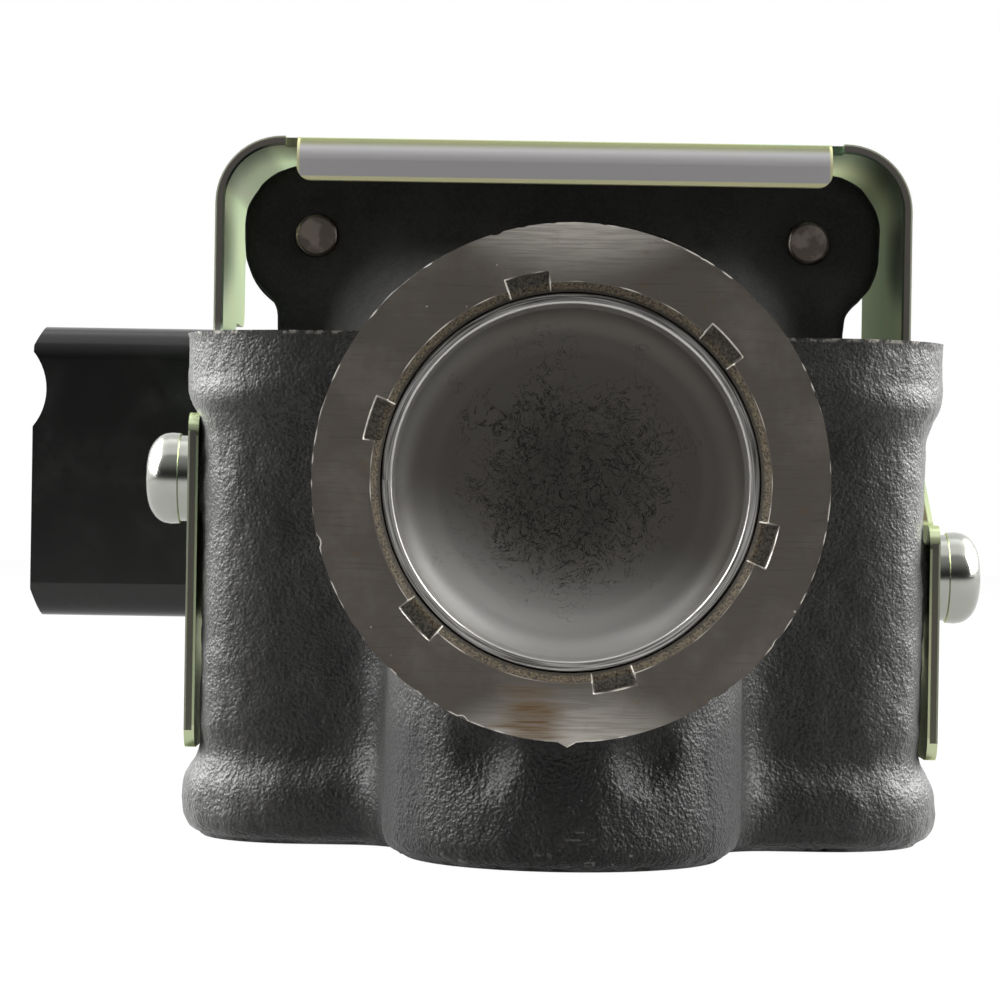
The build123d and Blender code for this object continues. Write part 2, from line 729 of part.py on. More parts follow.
def make_shaft_bush():
    """Bush with a flat-sided bore that stops the drive shaft from turning."""
    start = BRACKET_FLOOR_Y - OVERCUT
    end = BRACKET_HUB_END_Y + OVERCUT
    bush = disc(SHAFT_BUSH_R, BRACKET_FLOOR_Y, BRACKET_HUB_END_Y)
    flat_z = AXIS_Z + SHAFT_R - SHAFT_FLAT + RUN
    side_z = (flat_z, flat_z + SHAFT_SPAN)
    flat_side = block((-SHAFT_SPAN, SHAFT_SPAN), (start - OVERCUT, end + OVERCUT), side_z)
    return bush - (disc(SHAFT_R + RUN, start, end) - flat_side)


def connector_box():
    """Outside of the connector: a rounded box that reaches from the motor to its mouth."""
    y_low, y_high = CONNECTOR_Y
    z_low, z_high = CONNECTOR_Z
    centre = ((y_low + y_high) / 2, (z_low + z_high) / 2)
    plane = Plane(origin=(CONNECTOR_END_X, 0, 0), x_dir=(0, 1, 0), z_dir=(1, 0, 0))
    section = Pos(*centre) * RectangleRounded(y_high - y_low, z_high - z_low, CONNECTOR_CORNER_R)
    box = extrude(plane * section, -CONNECTOR_END_X - CONNECTOR_ROOT_X)
    wall = CONNECTOR_WALL
    opening = Pos(*centre) * RectangleRounded(
        y_high - y_low - 2 * wall, z_high - z_low - 2 * wall, CONNECTOR_CORNER_R - wall
    )
    box -= extrude(plane * opening, SOCKET_FLOOR_X - CONNECTOR_END_X)
    return box


def connector_scoop():
    """Finger scoop across the connector's mouth, for the plug's latch."""
    radius = (SCOOP_HALF_H**2 + SCOOP_DEPTH**2) / (2 * SCOOP_DEPTH)
    centre_x = CONNECTOR_END_X + SCOOP_DEPTH - radius
    y_low, y_high = CONNECTOR_Y
    return rod(radius, (centre_x, y_low - OVERCUT, SCOOP_Z), (centre_x, y_high + OVERCUT, SCOOP_Z))


def connector_bevels():
    """Wedges that bevel the connector's mouth at its top and bottom."""
    (y_low, y_high), (z_low, z_high) = CONNECTOR_Y, CONNECTOR_Z
    wedges = []
    for z, reach in ((z_high, -MOUTH_BEVEL_TOP), (z_low, MOUTH_BEVEL_BOTTOM)):
        side = Polyline(
            (CONNECTOR_END_X, z),
            (CONNECTOR_END_X + MOUTH_BEVEL, z),
            (CONNECTOR_END_X, z + reach),
            close=True,
        )
        upright = Plane(origin=(0, y_high, 0), x_dir=(1, 0, 0), z_dir=(0, -1, 0))
        wedges.append(extrude(upright * make_face(side), y_high - y_low))
    return wedges


def connector_latch():
    """Ramp on the connector's rear wall that the plug snaps over."""
    y = CONNECTOR_Y[1]
    z = sum(CONNECTOR_Z) / 2
    ramp = Polyline(
        (LATCH_START_X, y - LATCH_ROOT),
        (LATCH_START_X, y),
        (LATCH_PEAK_X, y + LATCH_H),
        (LATCH_END_X, y + LATCH_H),
        (LATCH_END_X, y - LATCH_ROOT),
        close=True,
    )
    return extrude(Pos(0, 0, z - LATCH_W / 2) * make_face(ramp), LATCH_W)


def make_motor_housing():
    """Moulded motor housing with screw ears, short cooling ribs and the side connector."""
    housing = slab(flange_outline(), PLATE_END_Y, EAR_END_Y)
    housing += disc(HOUSING_R, EAR_END_Y, HOUSING_END_Y)
    rib_y = (EAR_END_Y, HOUSING_END_Y - HOUSING_RIB_SETBACK)
    rib = block((-HOUSING_RIB_W / 2, HOUSING_RIB_W / 2), rib_y, (AXIS_Z, AXIS_Z + HOUSING_R + HOUSING_RIB_H))
    for k in range(HOUSING_RIB_COUNT):
        housing += rib.rotate(STEM_AXIS, 360 / HOUSING_RIB_COUNT * (k + 0.5))
    housing += connector_box()
    housing += connector_latch()
    housing -= connector_scoop()
    for wedge in connector_bevels():
        housing -= wedge
    housing -= disc(BRACKET_HUB_R + HUB_CLEARANCE, PLATE_END_Y - OVERCUT, BRACKET_HUB_END_Y + OVERCUT)
    housing -= disc(HOUSING_BORE_R, BRACKET_HUB_END_Y + HOUSING_STEP, HOUSING_END_Y + OVERCUT)
    housing -= make_connector_pins()
    for hole in ear_holes(M5_R + SCREW_CLEARANCE, PLATE_END_Y - OVERCUT, EAR_END_Y + OVERCUT):
        housing -= hole
    hole_start_y = HOUSING_END_Y - M3_DEPTH - OVERCUT
    for x, z in cap_screw_places():
        housing -= rod(M3_R + FIT, (x, hole_start_y, z), (x, HOUSING_END_Y + OVERCUT, z))
    return housing


def cap_screw_places():
    """Centres of the end cap's screws."""
    places = []
    for k in range(CAP_SCREW_COUNT):
        angle = radians(45 + 360 / CAP_SCREW_COUNT * k)
        places.append((CAP_SCREW_R * cos(angle), AXIS_Z + CAP_SCREW_R * sin(angle)))
    return places


def make_end_cap():
    """Moulded end cap with a spigot, the rear bearing seat and an o-ring groove."""
    end = HOUSING_END_Y + CAP_T
    seat_end = REAR_BEARING_Y + BEARING_W + WAVE_WASHER_T
    spigot_r = HOUSING_BORE_R - WORKS_GAP
    groove_r = spigot_r - CAP_GROOVE_DEPTH
    cap = turned(
        (BEARING_OUTER_R + FIT, CAP_HUB_Y),
        (BEARING_SEAT_R, CAP_HUB_Y),
        (BEARING_SEAT_R, CAP_SPIGOT_Y),
        (spigot_r, CAP_SPIGOT_Y),
        (spigot_r, CAP_SPIGOT_Y + CAP_GROOVE_START),
        (groove_r, CAP_SPIGOT_Y + CAP_GROOVE_START),
        (groove_r, CAP_SPIGOT_Y + CAP_GROOVE_END),
        (spigot_r, CAP_SPIGOT_Y + CAP_GROOVE_END),
        (spigot_r, HOUSING_END_Y),
        (HOUSING_R, HOUSING_END_Y),
        (HOUSING_R, end - CAP_EDGE),
        (HOUSING_R - CAP_EDGE, end),
        (CAP_DISH_R, end),
        (CAP_DISH_R - CAP_EDGE, end - CAP_DISH_DEPTH),
        (0, end - CAP_DISH_DEPTH),
        (0, seat_end),
        (BEARING_OUTER_R + FIT, seat_end),
    )
    for x, z in cap_screw_places():
        cap -= rod(M3_R + M3_CLEARANCE, (x, HOUSING_END_Y - OVERCUT, z), (x, end + OVERCUT, z))
    return cap


def make_cap_o_ring():
    """O-ring in the end cap's groove."""
    groove_middle = (CAP_GROOVE_START + CAP_GROOVE_END) / 2
    section = RegularPolygon(O_RING_R, WIRE_SIDES)
    place = Pos(HOUSING_BORE_R - WORKS_GAP - O_RING_R, CAP_SPIGOT_Y + groove_middle, AXIS_Z)
    return revolve(place * section, STEM_AXIS, 360)


def make_bearing(start_y):
    """Shielded ball bearing: outer ring, inner ring and the shields set in between."""
    bore_r = BEARING_INNER_R + RUN
    outer_step = BEARING_OUTER_R - BEARING_RACE_W
    inner_step = bore_r + BEARING_RACE_W
    end_y = start_y + BEARING_W
    return turned(
        (bore_r, start_y),
        (inner_step, start_y),
        (inner_step, start_y + BEARING_SHIELD_INSET),
        (outer_step, start_y + BEARING_SHIELD_INSET),
        (outer_step, start_y),
        (BEARING_OUTER_R, start_y),
        (BEARING_OUTER_R, end_y),
        (outer_step, end_y),
        (outer_step, end_y - BEARING_SHIELD_INSET),
        (inner_step, end_y - BEARING_SHIELD_INSET),
        (inner_step, end_y),
        (bore_r, end_y),
    )


def make_wave_washer():
    """Preload washer behind the rear bearing."""
    start = REAR_BEARING_Y + BEARING_W
    outer_r = BEARING_OUTER_R - WORKS_GAP
    return tube(outer_r, outer_r - WAVE_WASHER_W, start, start + WAVE_WASHER_T)


def make_rotor_hub():
    """Rotor hub: two bearing journals and the shoulder that carries the magnet."""
    shoulder = HUB_R - HUB_UNDERCUT
    front_shoulder_y = BEARING_SEAT_END_Y + BEARING_CLEARANCE
    rear_shoulder_y = REAR_BEARING_Y - BEARING_CLEARANCE
    return turned(
        (SHAFT_R + RUN, HUB_START_Y),
        (BEARING_INNER_R, HUB_START_Y),
        (BEARING_INNER_R, front_shoulder_y),
        (shoulder, front_shoulder_y),
        (shoulder, MAGNET_START_Y),
        (HUB_R, MAGNET_START_Y),
        (HUB_R, MAGNET_END_Y),
        (shoulder, MAGNET_END_Y),
        (shoulder, rear_shoulder_y),
        (BEARING_INNER_R, rear_shoulder_y),
        (BEARING_INNER_R, HUB_END_Y),
        (SHAFT_R + RUN, HUB_END_Y),
    )


def make_rotor_magnet():
    """Ring magnet on the rotor hub."""
    return tube(MAGNET_R, HUB_R + FIT, MAGNET_START_Y, MAGNET_END_Y)


def make_drive_shaft():
    """Lead screw blank with a domed nose that pushes the valve stem, and a flat along its nose end."""
    shaft = turned(
        (0, SHAFT_NOSE_Y),
        (SHAFT_NOSE_R, SHAFT_NOSE_Y),
        (SHAFT_NOSE_DOME_R, SHAFT_NOSE_Y + SHAFT_NOSE_DOME),
        (SHAFT_R, SHAFT_NOSE_Y + SHAFT_NOSE_LENGTH),
        (SHAFT_R, SHAFT_END_Y - SHAFT_CHAMFER),
        (SHAFT_R - SHAFT_CHAMFER, SHAFT_END_Y),
        (0, SHAFT_END_Y),
    )
    flat_z = AXIS_Z + SHAFT_R - SHAFT_FLAT
    flat_y = (SHAFT_NOSE_Y - OVERCUT, BRACKET_HUB_END_Y + LIFT + OVERCUT)
    return shaft - block((-SHAFT_SPAN, SHAFT_SPAN), flat_y, (flat_z, flat_z + SHAFT_SPAN))


def make_stator(start_y):
    """Stator cup: two side rings, the back iron and the toothed bore, round one coil."""
    end = start_y + STATOR_LENGTH
    back_r = COIL_OUTER_R + WORKS_GAP
    outer_r = HOUSING_BORE_R - WORKS_GAP
    return turned(
        (STATOR_BORE_R, start_y),
        (outer_r, start_y),
        (outer_r, end),
        (STATOR_BORE_R, end),
        (STATOR_BORE_R, end - STATOR_WALL),
        (back_r, end - STATOR_WALL),
        (back_r, start_y + STATOR_WALL),
        (STATOR_BORE_R, start_y + STATOR_WALL),
    )


def make_coil(start_y):
    """Wound coil on its bobbin."""
    clear = STATOR_WALL + WORKS_GAP
    return tube(COIL_OUTER_R, COIL_INNER_R, start_y + clear, start_y + STATOR_LENGTH - clear)


def make_connector_pins():
    """Six flat blade terminals in two rows."""
    half = PIN_W / 2
    pins = []
    for y in PIN_ROWS_Y:
        for z in PIN_Z:
            blade = block((PIN_TIP_X, PIN_ROOT_X), (y - half, y + half), (z - half, z + half))
            pins.append(chamfer(blade.faces().sort_by(Axis.X)[0].edges(), PIN_BEVEL))
    return Compound(children=pins)


# ---------------------------------------------------------------- heat shield
def shield_channel(front_y, rear_y):
    """Bent sheet: a flat top and two legs, with rounded top corners."""
    depth = CHANNEL_DEPTH
    outer = Pos(0, SHIELD_TOP_Z - depth / 2) * RectangleRounded(2 * SHIELD_HALF, depth, SHIELD_CORNER_R)
    inner_r = SHIELD_CORNER_R - SHEET_T
    inner = Pos(0, SHIELD_TOP_Z - SHEET_T - depth / 2) * RectangleRounded(2 * SHIELD_INNER, depth, inner_r)
    section = Plane(origin=(0, rear_y, 0), x_dir=(1, 0, 0), z_dir=(0, -1, 0)) * (outer - inner)
    return extrude(section, rear_y - front_y)


def side_blank(points, side):
    """Cutting tool with the side view of one leg, from (y, z) points with rounded corners."""
    outline = make_face(FilletPolyline(*points, radius=LEG_CORNER_R, close=True))
    plane = Plane(origin=(0, 0, 0), x_dir=(0, 1, 0), z_dir=(1, 0, 0))
    return extrude(plane * outline, side * (SHIELD_HALF + OVERCUT))


def shield_lip():
    """Front lip of the shield, bent down from the top plate."""
    top = SHIELD_TOP_Z
    front = SHIELD_FRONT_Y
    back = front + LIP_ROOT
    strip = Polyline(
        (back, top),
        (front, top),
        (front, top - LIP_H),
        (front + SHEET_T, top - LIP_H),
        (front + SHEET_T, top - SHEET_T),
        (back, top - SHEET_T),
        close=True,
    )
    face = make_face(strip)
    face = fillet(face.vertices().sort_by_distance((front, top))[0], LIP_BEND_R + SHEET_T)
    face = fillet(face.vertices().sort_by_distance((front + SHEET_T, top - SHEET_T))[0], LIP_BEND_R)
    plane = Plane(origin=(-LIP_HALF_W, 0, 0), x_dir=(0, 1, 0), z_dir=(1, 0, 0))
    lip = extrude(plane * face, 2 * LIP_HALF_W)
    low_edges = lip.edges().filter_by(Axis.Y).group_by(Axis.Z)[0]
    return fillet(low_edges, LIP_CORNER_R)


def make_heat_shield():
    """Bent sheet-metal shield: top plate with a front lip, and two legs whose tabs screw to the casting."""
    channel = shield_channel(TAB_FRONT_Y, SHIELD_REAR_Y)
    shield = (channel & side_blank(LEFT_LEG, -1)) + (channel & side_blank(RIGHT_LEG, 1))
    top_span = (SHIELD_TOP_Z - LIP_H, SHIELD_TOP_Z + OVERCUT)
    shield -= block((-LIP_HALF_W, LIP_HALF_W), (0, SHIELD_FRONT_Y + LIP_ROOT - OVERCUT), top_span)
    shield += shield_lip()
    for side in (-1, 1):
        edges = sorted((side * LIP_HALF_W, side * (LIP_HALF_W + NOTCH_W)))
        shield -= block(edges, (0, SHIELD_FRONT_Y + NOTCH_DEPTH), top_span)
    for side, z in side_sign_and_height():
        inside = (side * (SHIELD_INNER - OVERCUT), 0, z)
        outside = (side * (SHIELD_HALF + OVERCUT), 0, z)
        shield -= rod(SHIELD_HOLE_R, inside, outside)
    return shield


# ---------------------------------------------------------------- fasteners
def pan_screw(head_r, head_h, shank_r, shank_length):
    """Cross-recess pan head screw: head bearing face at z = 0, crown up, shank down."""
    crown = [(head_r * share_r, head_h * share_h) for share_r, share_h in CROWN_PROFILE]
    half = Polyline(
        *crown,
        (head_r - HEAD_EDGE, 0),
        (shank_r, 0),
        (shank_r, -shank_length + TIP_CHAMFER),
        (shank_r - TIP_CHAMFER, -shank_length),
        (0, -shank_length),
        close=True,
    )
    screw = revolve(Plane.XZ * make_face(half), Axis.Z, 360)
    scale = head_r / PAN_HEAD_R
    for turn in (0, 90):
        bar = Rot(0, 0, turn) * Rectangle(CROSS_SPAN * scale, CROSS_W * scale)
        tip = Rot(0, 0, turn) * Rectangle(CROSS_TIP_SPAN * scale, CROSS_TIP_W * scale)
        screw -= loft([Pos(0, 0, head_h + NEAR) * bar, Pos(0, 0, head_h - CROSS_DEPTH * scale) * tip])
    return screw


def spring_washer():
    """Split spring washer, bottom face at z = 0."""
    ring = extrude(Circle(SPRING_WASHER_R) - Circle(M5_R + WORKS_GAP), SPRING_WASHER_T)
    split = Box(SPRING_WASHER_R, SPRING_WASHER_GAP, 3 * SPRING_WASHER_T)
    return ring - Pos(SPRING_WASHER_R, 0, SPRING_WASHER_T / 2) * split


def side_place(side, x, z):
    """Location of a side screw's bearing face, its z axis pointing outwards."""
    return Plane(origin=(side * x, 0, z), x_dir=(0, 1, 0), z_dir=(side, 0, 0)).location


def make_shield_screws():
    """Two pan head screws through the shield's tabs."""
    bearing_x = SHIELD_HALF + SPRING_WASHER_T
    screw = pan_screw(PAN_HEAD_R, PAN_HEAD_H, M5_R, bearing_x - SHIELD_SCREW_TIP_X)
    return Compound(children=[side_place(side, bearing_x, z) * screw for side, z in side_sign_and_height()])


def make_shield_washers():
    """Spring washers under the shield screws."""
    washer = spring_washer()
    places = [side_place(side, SHIELD_HALF, z) for side, z in side_sign_and_height()]
    return Compound(children=[place * washer for place in places])


def ear_place(x, z, y):
    """Location on an ear screw's axis, its z axis pointing to the rear."""
    return Plane(origin=(x, y, AXIS_Z + z), x_dir=(1, 0, 0), z_dir=(0, 1, 0)).location


def make_motor_screws():
    """Four screws that clamp the motor and its bracket to the casting."""
    bearing_y = EAR_END_Y + SPRING_WASHER_T
    screw = pan_screw(PAN_HEAD_R, PAN_HEAD_H, M5_R, bearing_y - SCREW_TIP_Y)
    return Compound(children=[ear_place(x, z, bearing_y) * screw for x, z in EAR_CENTRES])


def make_motor_washers():
    """Spring washers under the motor screws."""
    return Compound(children=[ear_place(x, z, EAR_END_Y) * spring_washer() for x, z in EAR_CENTRES])


def make_cap_screws():
    """Small screws that hold the end cap."""
    end = HOUSING_END_Y + CAP_T
    screw = pan_screw(M3_HEAD_R, M3_HEAD_H, M3_R, CAP_T + M3_DEPTH)
    return Compound(children=[ear_place(x, z - AXIS_Z, end) * screw for x, z in cap_screw_places()])


# ---------------------------------------------------------------- build
PARTS = {
    "valve_body": make_valve_body,
    "cup_plug": make_cup_plug,
    "valve_seat": make_valve_seat,
    "valve_head": make_valve_head,
    "valve_stem": make_valve_stem,
    "stem_scraper": make_stem_scraper,
    "stem_bush": make_stem_bush,
    "stem_seal": make_stem_seal,
    "seal_cap": make_seal_cap,
    "spring_seat": make_spring_seat,
    "return_spring": make_return_spring,
    "spring_retainer": make_spring_retainer,
    "stem_clip": make_stem_clip,
    "flange_gasket": make_flange_gasket,
    "motor_bracket": make_motor_bracket,
    "shaft_bush": make_shaft_bush,
    "motor_housing": make_motor_housing,
    "end_cap": make_end_cap,
    "cap_o_ring": make_cap_o_ring,
    "cap_screws": make_cap_screws,
    "front_bearing": lambda: make_bearing(BEARING_SEAT_END_Y - BEARING_W),
    "rear_bearing": lambda: make_bearing(REAR_BEARING_Y),
    "wave_washer": make_wave_washer,
    "rotor_hub": make_rotor_hub,
    "rotor_magnet": make_rotor_magnet,
    "drive_shaft": make_drive_shaft,
    "stator_front": lambda: make_stator(STATOR_START_Y),
    "stator_rear": lambda: make_stator(STATOR_START_Y + STATOR_LENGTH + STATOR_GAP),
    "coil_front": lambda: make_coil(STATOR_START_Y),
    "coil_rear": lambda: make_coil(STATOR_START_Y + STATOR_LENGTH + STATOR_GAP),
    "connector_pins": make_connector_pins,
    "motor_screws": make_motor_screws,
    "motor_washers": make_motor_washers,
    "heat_shield": make_heat_shield,
    "shield_screws": make_shield_screws,
    "shield_washers": make_shield_washers,
}

if __name__ == "__main__":
    os.makedirs("parts", exist_ok=True)
    for part_name, make in PARTS.items():
        save(part_name, make())
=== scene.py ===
"""Visual model of an engine's exhaust gas recirculation valve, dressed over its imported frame.

Everything is in metres, with X to the right, Y along the valve stem towards the motor and Z up from the
foot.
"""

from __future__ import annotations

import logging
import math
from collections.abc import Sequence
from dataclasses import dataclass, field
from enum import Enum
from typing import Any

import bmesh
import bpy
import numpy as np
from mathutils import Matrix, Vector

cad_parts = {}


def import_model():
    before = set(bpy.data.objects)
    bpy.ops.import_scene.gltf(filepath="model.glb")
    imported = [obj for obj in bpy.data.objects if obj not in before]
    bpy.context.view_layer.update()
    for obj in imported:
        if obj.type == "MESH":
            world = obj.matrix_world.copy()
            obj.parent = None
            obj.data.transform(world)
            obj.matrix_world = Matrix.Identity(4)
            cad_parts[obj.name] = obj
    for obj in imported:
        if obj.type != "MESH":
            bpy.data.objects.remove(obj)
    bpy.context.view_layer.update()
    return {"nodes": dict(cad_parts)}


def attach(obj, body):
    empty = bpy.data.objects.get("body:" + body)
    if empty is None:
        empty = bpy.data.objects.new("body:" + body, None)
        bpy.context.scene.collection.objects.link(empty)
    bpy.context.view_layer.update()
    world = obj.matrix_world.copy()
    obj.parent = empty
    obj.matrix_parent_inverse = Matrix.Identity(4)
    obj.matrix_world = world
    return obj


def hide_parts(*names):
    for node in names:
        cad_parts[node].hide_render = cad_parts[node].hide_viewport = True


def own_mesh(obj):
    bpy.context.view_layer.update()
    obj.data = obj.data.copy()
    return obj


LOG = logging.getLogger("egr_valve")
MM = 0.001

# Places that several classes share: the stem axis, the bolt columns, half the square of the flange's ears,
# and the side and height of the side screws.
AXIS_Z = 38.0 * MM
COLUMN_X = 27.5 * MM
EAR = 28.5 * MM
SIDE_SEATS = ((-1.0, 38.0 * MM), (1.0, 28.6 * MM))
CORNERS = ((-1, -1), (-1, 1), (1, -1), (1, 1))
TAPPED_R = 2.5 * MM

# Tolerances: past either end of the object, within a plane, a normal square to it, and points that are one.
FAR = 1.0
ON_PLANE = 0.01 * MM
SQUARE_ON = 0.99
CAD_JOIN = 2e-6
GRID_JOIN = 1e-7

Colour = tuple[float, float, float]
Point = tuple[float, float, float]
Pair = tuple[float, float]
Seat = tuple[Point, Point, float]


# ------------------------------------------------------------------ shader expressions
class Signal:
    """A node output that takes part in Python expressions; each operation adds one Math node."""

    def __init__(self, graph: Graph, socket: bpy.types.NodeSocket) -> None:
        """Wraps one output socket of a graph."""
        self.graph = graph
        self.socket = socket

    def __add__(self, other: Signal | float) -> Signal:
        """Sum."""
        return self.graph.math("ADD", self, other)

    def __radd__(self, other: float) -> Signal:
        """Sum with a number on the left."""
        return self.graph.math("ADD", other, self)

    def __sub__(self, other: Signal | float) -> Signal:
        """Difference."""
        return self.graph.math("SUBTRACT", self, other)

    def __rsub__(self, other: float) -> Signal:
        """Difference with a number on the left."""
        return self.graph.math("SUBTRACT", other, self)

    def __mul__(self, other: Signal | float) -> Signal:
        """Product."""
        return self.graph.math("MULTIPLY", self, other)

    def __rmul__(self, other: float) -> Signal:
        """Product with a number on the left."""
        return self.graph.math("MULTIPLY", other, self)

    def __truediv__(self, other: Signal | float) -> Signal:
        """Quotient."""
        return self.graph.math("DIVIDE", self, other)

    def __pow__(self, other: float) -> Signal:
        """Power."""
        return self.graph.math("POWER", self, other)

    def __abs__(self) -> Signal:
        """Size without sign."""
        return self.graph.math("ABSOLUTE", self)

    def least(self, other: Signal | float) -> Signal:
        """Smaller of two values."""
        return self.graph.math("MINIMUM", self, other)

    def most(self, other: Signal | float) -> Signal:
        """Larger of two values."""
        return self.graph.math("MAXIMUM", self, other)

    def rise(self, low: float, high: float) -> Signal:
        """Smooth step from 0 at low to 1 at high; low may be the larger, for a fall."""
        node = self.graph.add(
            "ShaderNodeMapRange",
            {"interpolation_type": "SMOOTHSTEP"},
            {"Value": self, "From Min": low, "From Max": high, "To Min": 0.0, "To Max": 1.0},
        )
        return Signal(self.graph, node.outputs["Result"])

    def within(self, start: float, full: float, fade: float, end: float) -> Signal:
        """Smooth window: up from 0 at start to 1 at full, then down from 1 at fade to 0 at end."""
        return self.rise(start, full) * self.rise(end, fade)


Value = Signal | float


class Graph:
    """Node tree of a material or a world, with short calls for the nodes in use."""

    def __init__(self, owner: bpy.types.Material | bpy.types.World) -> None:
        """Empties the node tree of a new material or world and takes it."""
        owner.use_nodes = True
        self.tree = owner.node_tree
        self.tree.nodes.clear()

    def feed(self, socket: bpy.types.NodeSocket, value: Any) -> None:
        """Links a signal into a socket, or sets the socket's own value.

        Args:
            socket: Input socket.
            value: Signal, output socket, number, colour or vector.
        """
        if isinstance(value, Signal):
            self.tree.links.new(value.socket, socket)
        elif isinstance(value, bpy.types.NodeSocket):
            self.tree.links.new(value, socket)
        elif socket.type == "RGBA" and len(value) == 3:
            socket.default_value = (*value, 1.0)
        else:
            socket.default_value = value

    def dress(self, node: bpy.types.Node, inputs: dict[Any, Any]) -> None:
        """Feeds several sockets of a node, by name or index."""
        for name, value in inputs.items():
            self.feed(node.inputs[name], value)

    def add(
        self,
        kind: str,
        settings: dict[str, Any] | None = None,
        inputs: dict[Any, Any] | None = None,
    ) -> bpy.types.Node:
        """Adds one node.

        Args:
            kind: Node type.
            settings: Attributes set before the sockets; "stops" fills a ramp with (position, colour).
            inputs: Values or signals by socket name or index.

        Returns:
            The node.
        """
        node = self.tree.nodes.new(kind)
        for name, value in (settings or {}).items():
            if name == "stops":
                self._fill_ramp(node, value)
            else:
                setattr(node, name, value)
        self.dress(node, inputs or {})
        return node

    @staticmethod
    def _fill_ramp(node: bpy.types.Node, stops: Sequence[tuple[float, Colour]]) -> None:
        """Sets a colour ramp's stops.

        Args:
            node: The ramp.
            stops: Position and colour of each stop.
        """
        elements = node.color_ramp.elements
        while len(elements) < len(stops):
            elements.new(0.5)
        for element, (position, colour) in zip(elements, stops):
            element.position = position
            element.color = (*colour, 1.0)

    def math(self, operation: str, *values: Value) -> Signal:
        """Math node on one, two or three values."""
        node = self.add("ShaderNodeMath", {"operation": operation}, dict(enumerate(values)))
        return Signal(self, node.outputs[0])

    def mix(self, factor: Value, first: Any, second: Any) -> Signal:
        """Mix node on two colours, whose colour sockets are 6 and 7 in and 2 out."""
        node = self.add("ShaderNodeMix", {"data_type": "RGBA"}, {0: factor, 6: first, 7: second})
        return Signal(self, node.outputs[2])

    def ramp(self, value: Signal, stops: Sequence[tuple[float, Colour]]) -> Signal:
        """Colour ramp."""
        node = self.add("ShaderNodeValToRGB", {"stops": stops}, {"Fac": value})
        return Signal(self, node.outputs["Color"])

    def place(self) -> Signal:
        """Object coordinates, in metres."""
        return Signal(self, self.add("ShaderNodeTexCoord").outputs["Object"])

    def mapped(self, place: Signal, move: Point = (0, 0, 0), scale: Point = (1, 1, 1)) -> Signal:
        """Mapping node: scaled and moved coordinates."""
        node = self.add("ShaderNodeMapping", None, {"Vector": place, "Location": move, "Scale": scale})
        return Signal(self, node.outputs["Vector"])

    def split(self, place: Signal) -> tuple[Signal, Signal, Signal]:
        """X, Y and Z of a vector."""
        node = self.add("ShaderNodeSeparateXYZ", None, {0: place})
        return tuple(Signal(self, node.outputs[i]) for i in range(3))

    def joined(self, x: Value, y: Value, z: Value) -> Signal:
        """Vector from three values."""
        node = self.add("ShaderNodeCombineXYZ", None, {0: x, 1: y, 2: z})
        return Signal(self, node.outputs[0])

    def noise(
        self, place: Signal, size: float, detail: float = 3.0, roughness: float = 0.5, twist: float = 0.0
    ) -> Signal:
        """Noise from 0 to 1 with features of the given size in metres.

        Args:
            place: Coordinates.
            size: Size of the largest features.
            detail: Octaves.
            roughness: Share of the finer octaves.
            twist: Distortion.

        Returns:
            The noise.
        """
        node = self.add("ShaderNodeTexNoise", None, {"Vector": place, "Scale": 1.0 / size})
        self.dress(node, {"Detail": detail, "Roughness": roughness, "Distortion": twist})
        return Signal(self, node.outputs["Fac"])

    def cells(self, place: Signal, size: float) -> Signal:
        """Distance from the middles of Voronoi cells of the given size in metres."""
        node = self.add("ShaderNodeTexVoronoi", {"feature": "F1"}, {"Vector": place, "Scale": 1.0 / size})
        return Signal(self, node.outputs["Distance"])

    def bump(self, height: Signal, distance: float) -> Signal:
        """Bump node; distance is the height in metres of a full step of the signal."""
        node = self.add("ShaderNodeBump", None, {"Height": height, "Distance": distance, "Strength": 1.0})
        return Signal(self, node.outputs["Normal"])

    def attribute(self, name: str) -> Signal:
        """Vertex attribute of the mesh, 0 where it has none."""
        return Signal(self, self.add("ShaderNodeAttribute", {"attribute_name": name}).outputs["Fac"])

    def stem_polar(self, place: Signal) -> tuple[Signal, Signal]:
        """Polar coordinates about the stem axis.

        Args:
            place: Object coordinates.

        Returns:
            Radius, and angle from -0.5 to 0.5 turns.
        """
        x, _, z = self.split(place)
        height = z - AXIS_Z
        radius = (x * x + height * height) ** 0.5
        return radius, self.math("ARCTAN2", height, x) / math.tau

    @staticmethod
    def oval(x: Signal, z: Signal, centre: Pair, reach: Pair) -> Signal:
        """Squared distance from an oval's centre, 1 on the oval.

        Args:
            x: First coordinate.
            z: Second coordinate.
            centre: Centre of the oval.
            reach: Its half axes.

        Returns:
            The squared distance.
        """
        across = (x - centre[0]) / reach[0]
        up = (z - centre[1]) / reach[1]
        return across * across + up * up

    def matte(self, colour: Any) -> bpy.types.Node:
        """Diffuse shader of one colour."""
        return self.add("ShaderNodeBsdfDiffuse", None, {"Color": colour})

    def blend(self, share: Signal, first: bpy.types.Node, second: bpy.types.Node) -> bpy.types.Node:
        """Mix Shader that goes from the first shader to the second."""
        inputs = {0: share, 1: first.outputs[0], 2: second.outputs[0]}
        return self.add("ShaderNodeMixShader", None, inputs)

    def show(self, kind: str, shader: bpy.types.Node) -> None:
        """Puts a shader on the tree's output node of the given type."""
        self.add(kind, None, {"Surface": shader.outputs[0]})

    def rays(self) -> tuple[Signal, Signal]:
        """Kinds of light ray.

        Returns:
            1 on the camera's rays, and 1 on mirrored and refracted rays.
        """
        path = self.add("ShaderNodeLightPath").outputs
        glossy, through = Signal(self, path["Is Glossy Ray"]), Signal(self, path["Is Transmission Ray"])
        return Signal(self, path["Is Camera Ray"]), glossy.most(through)


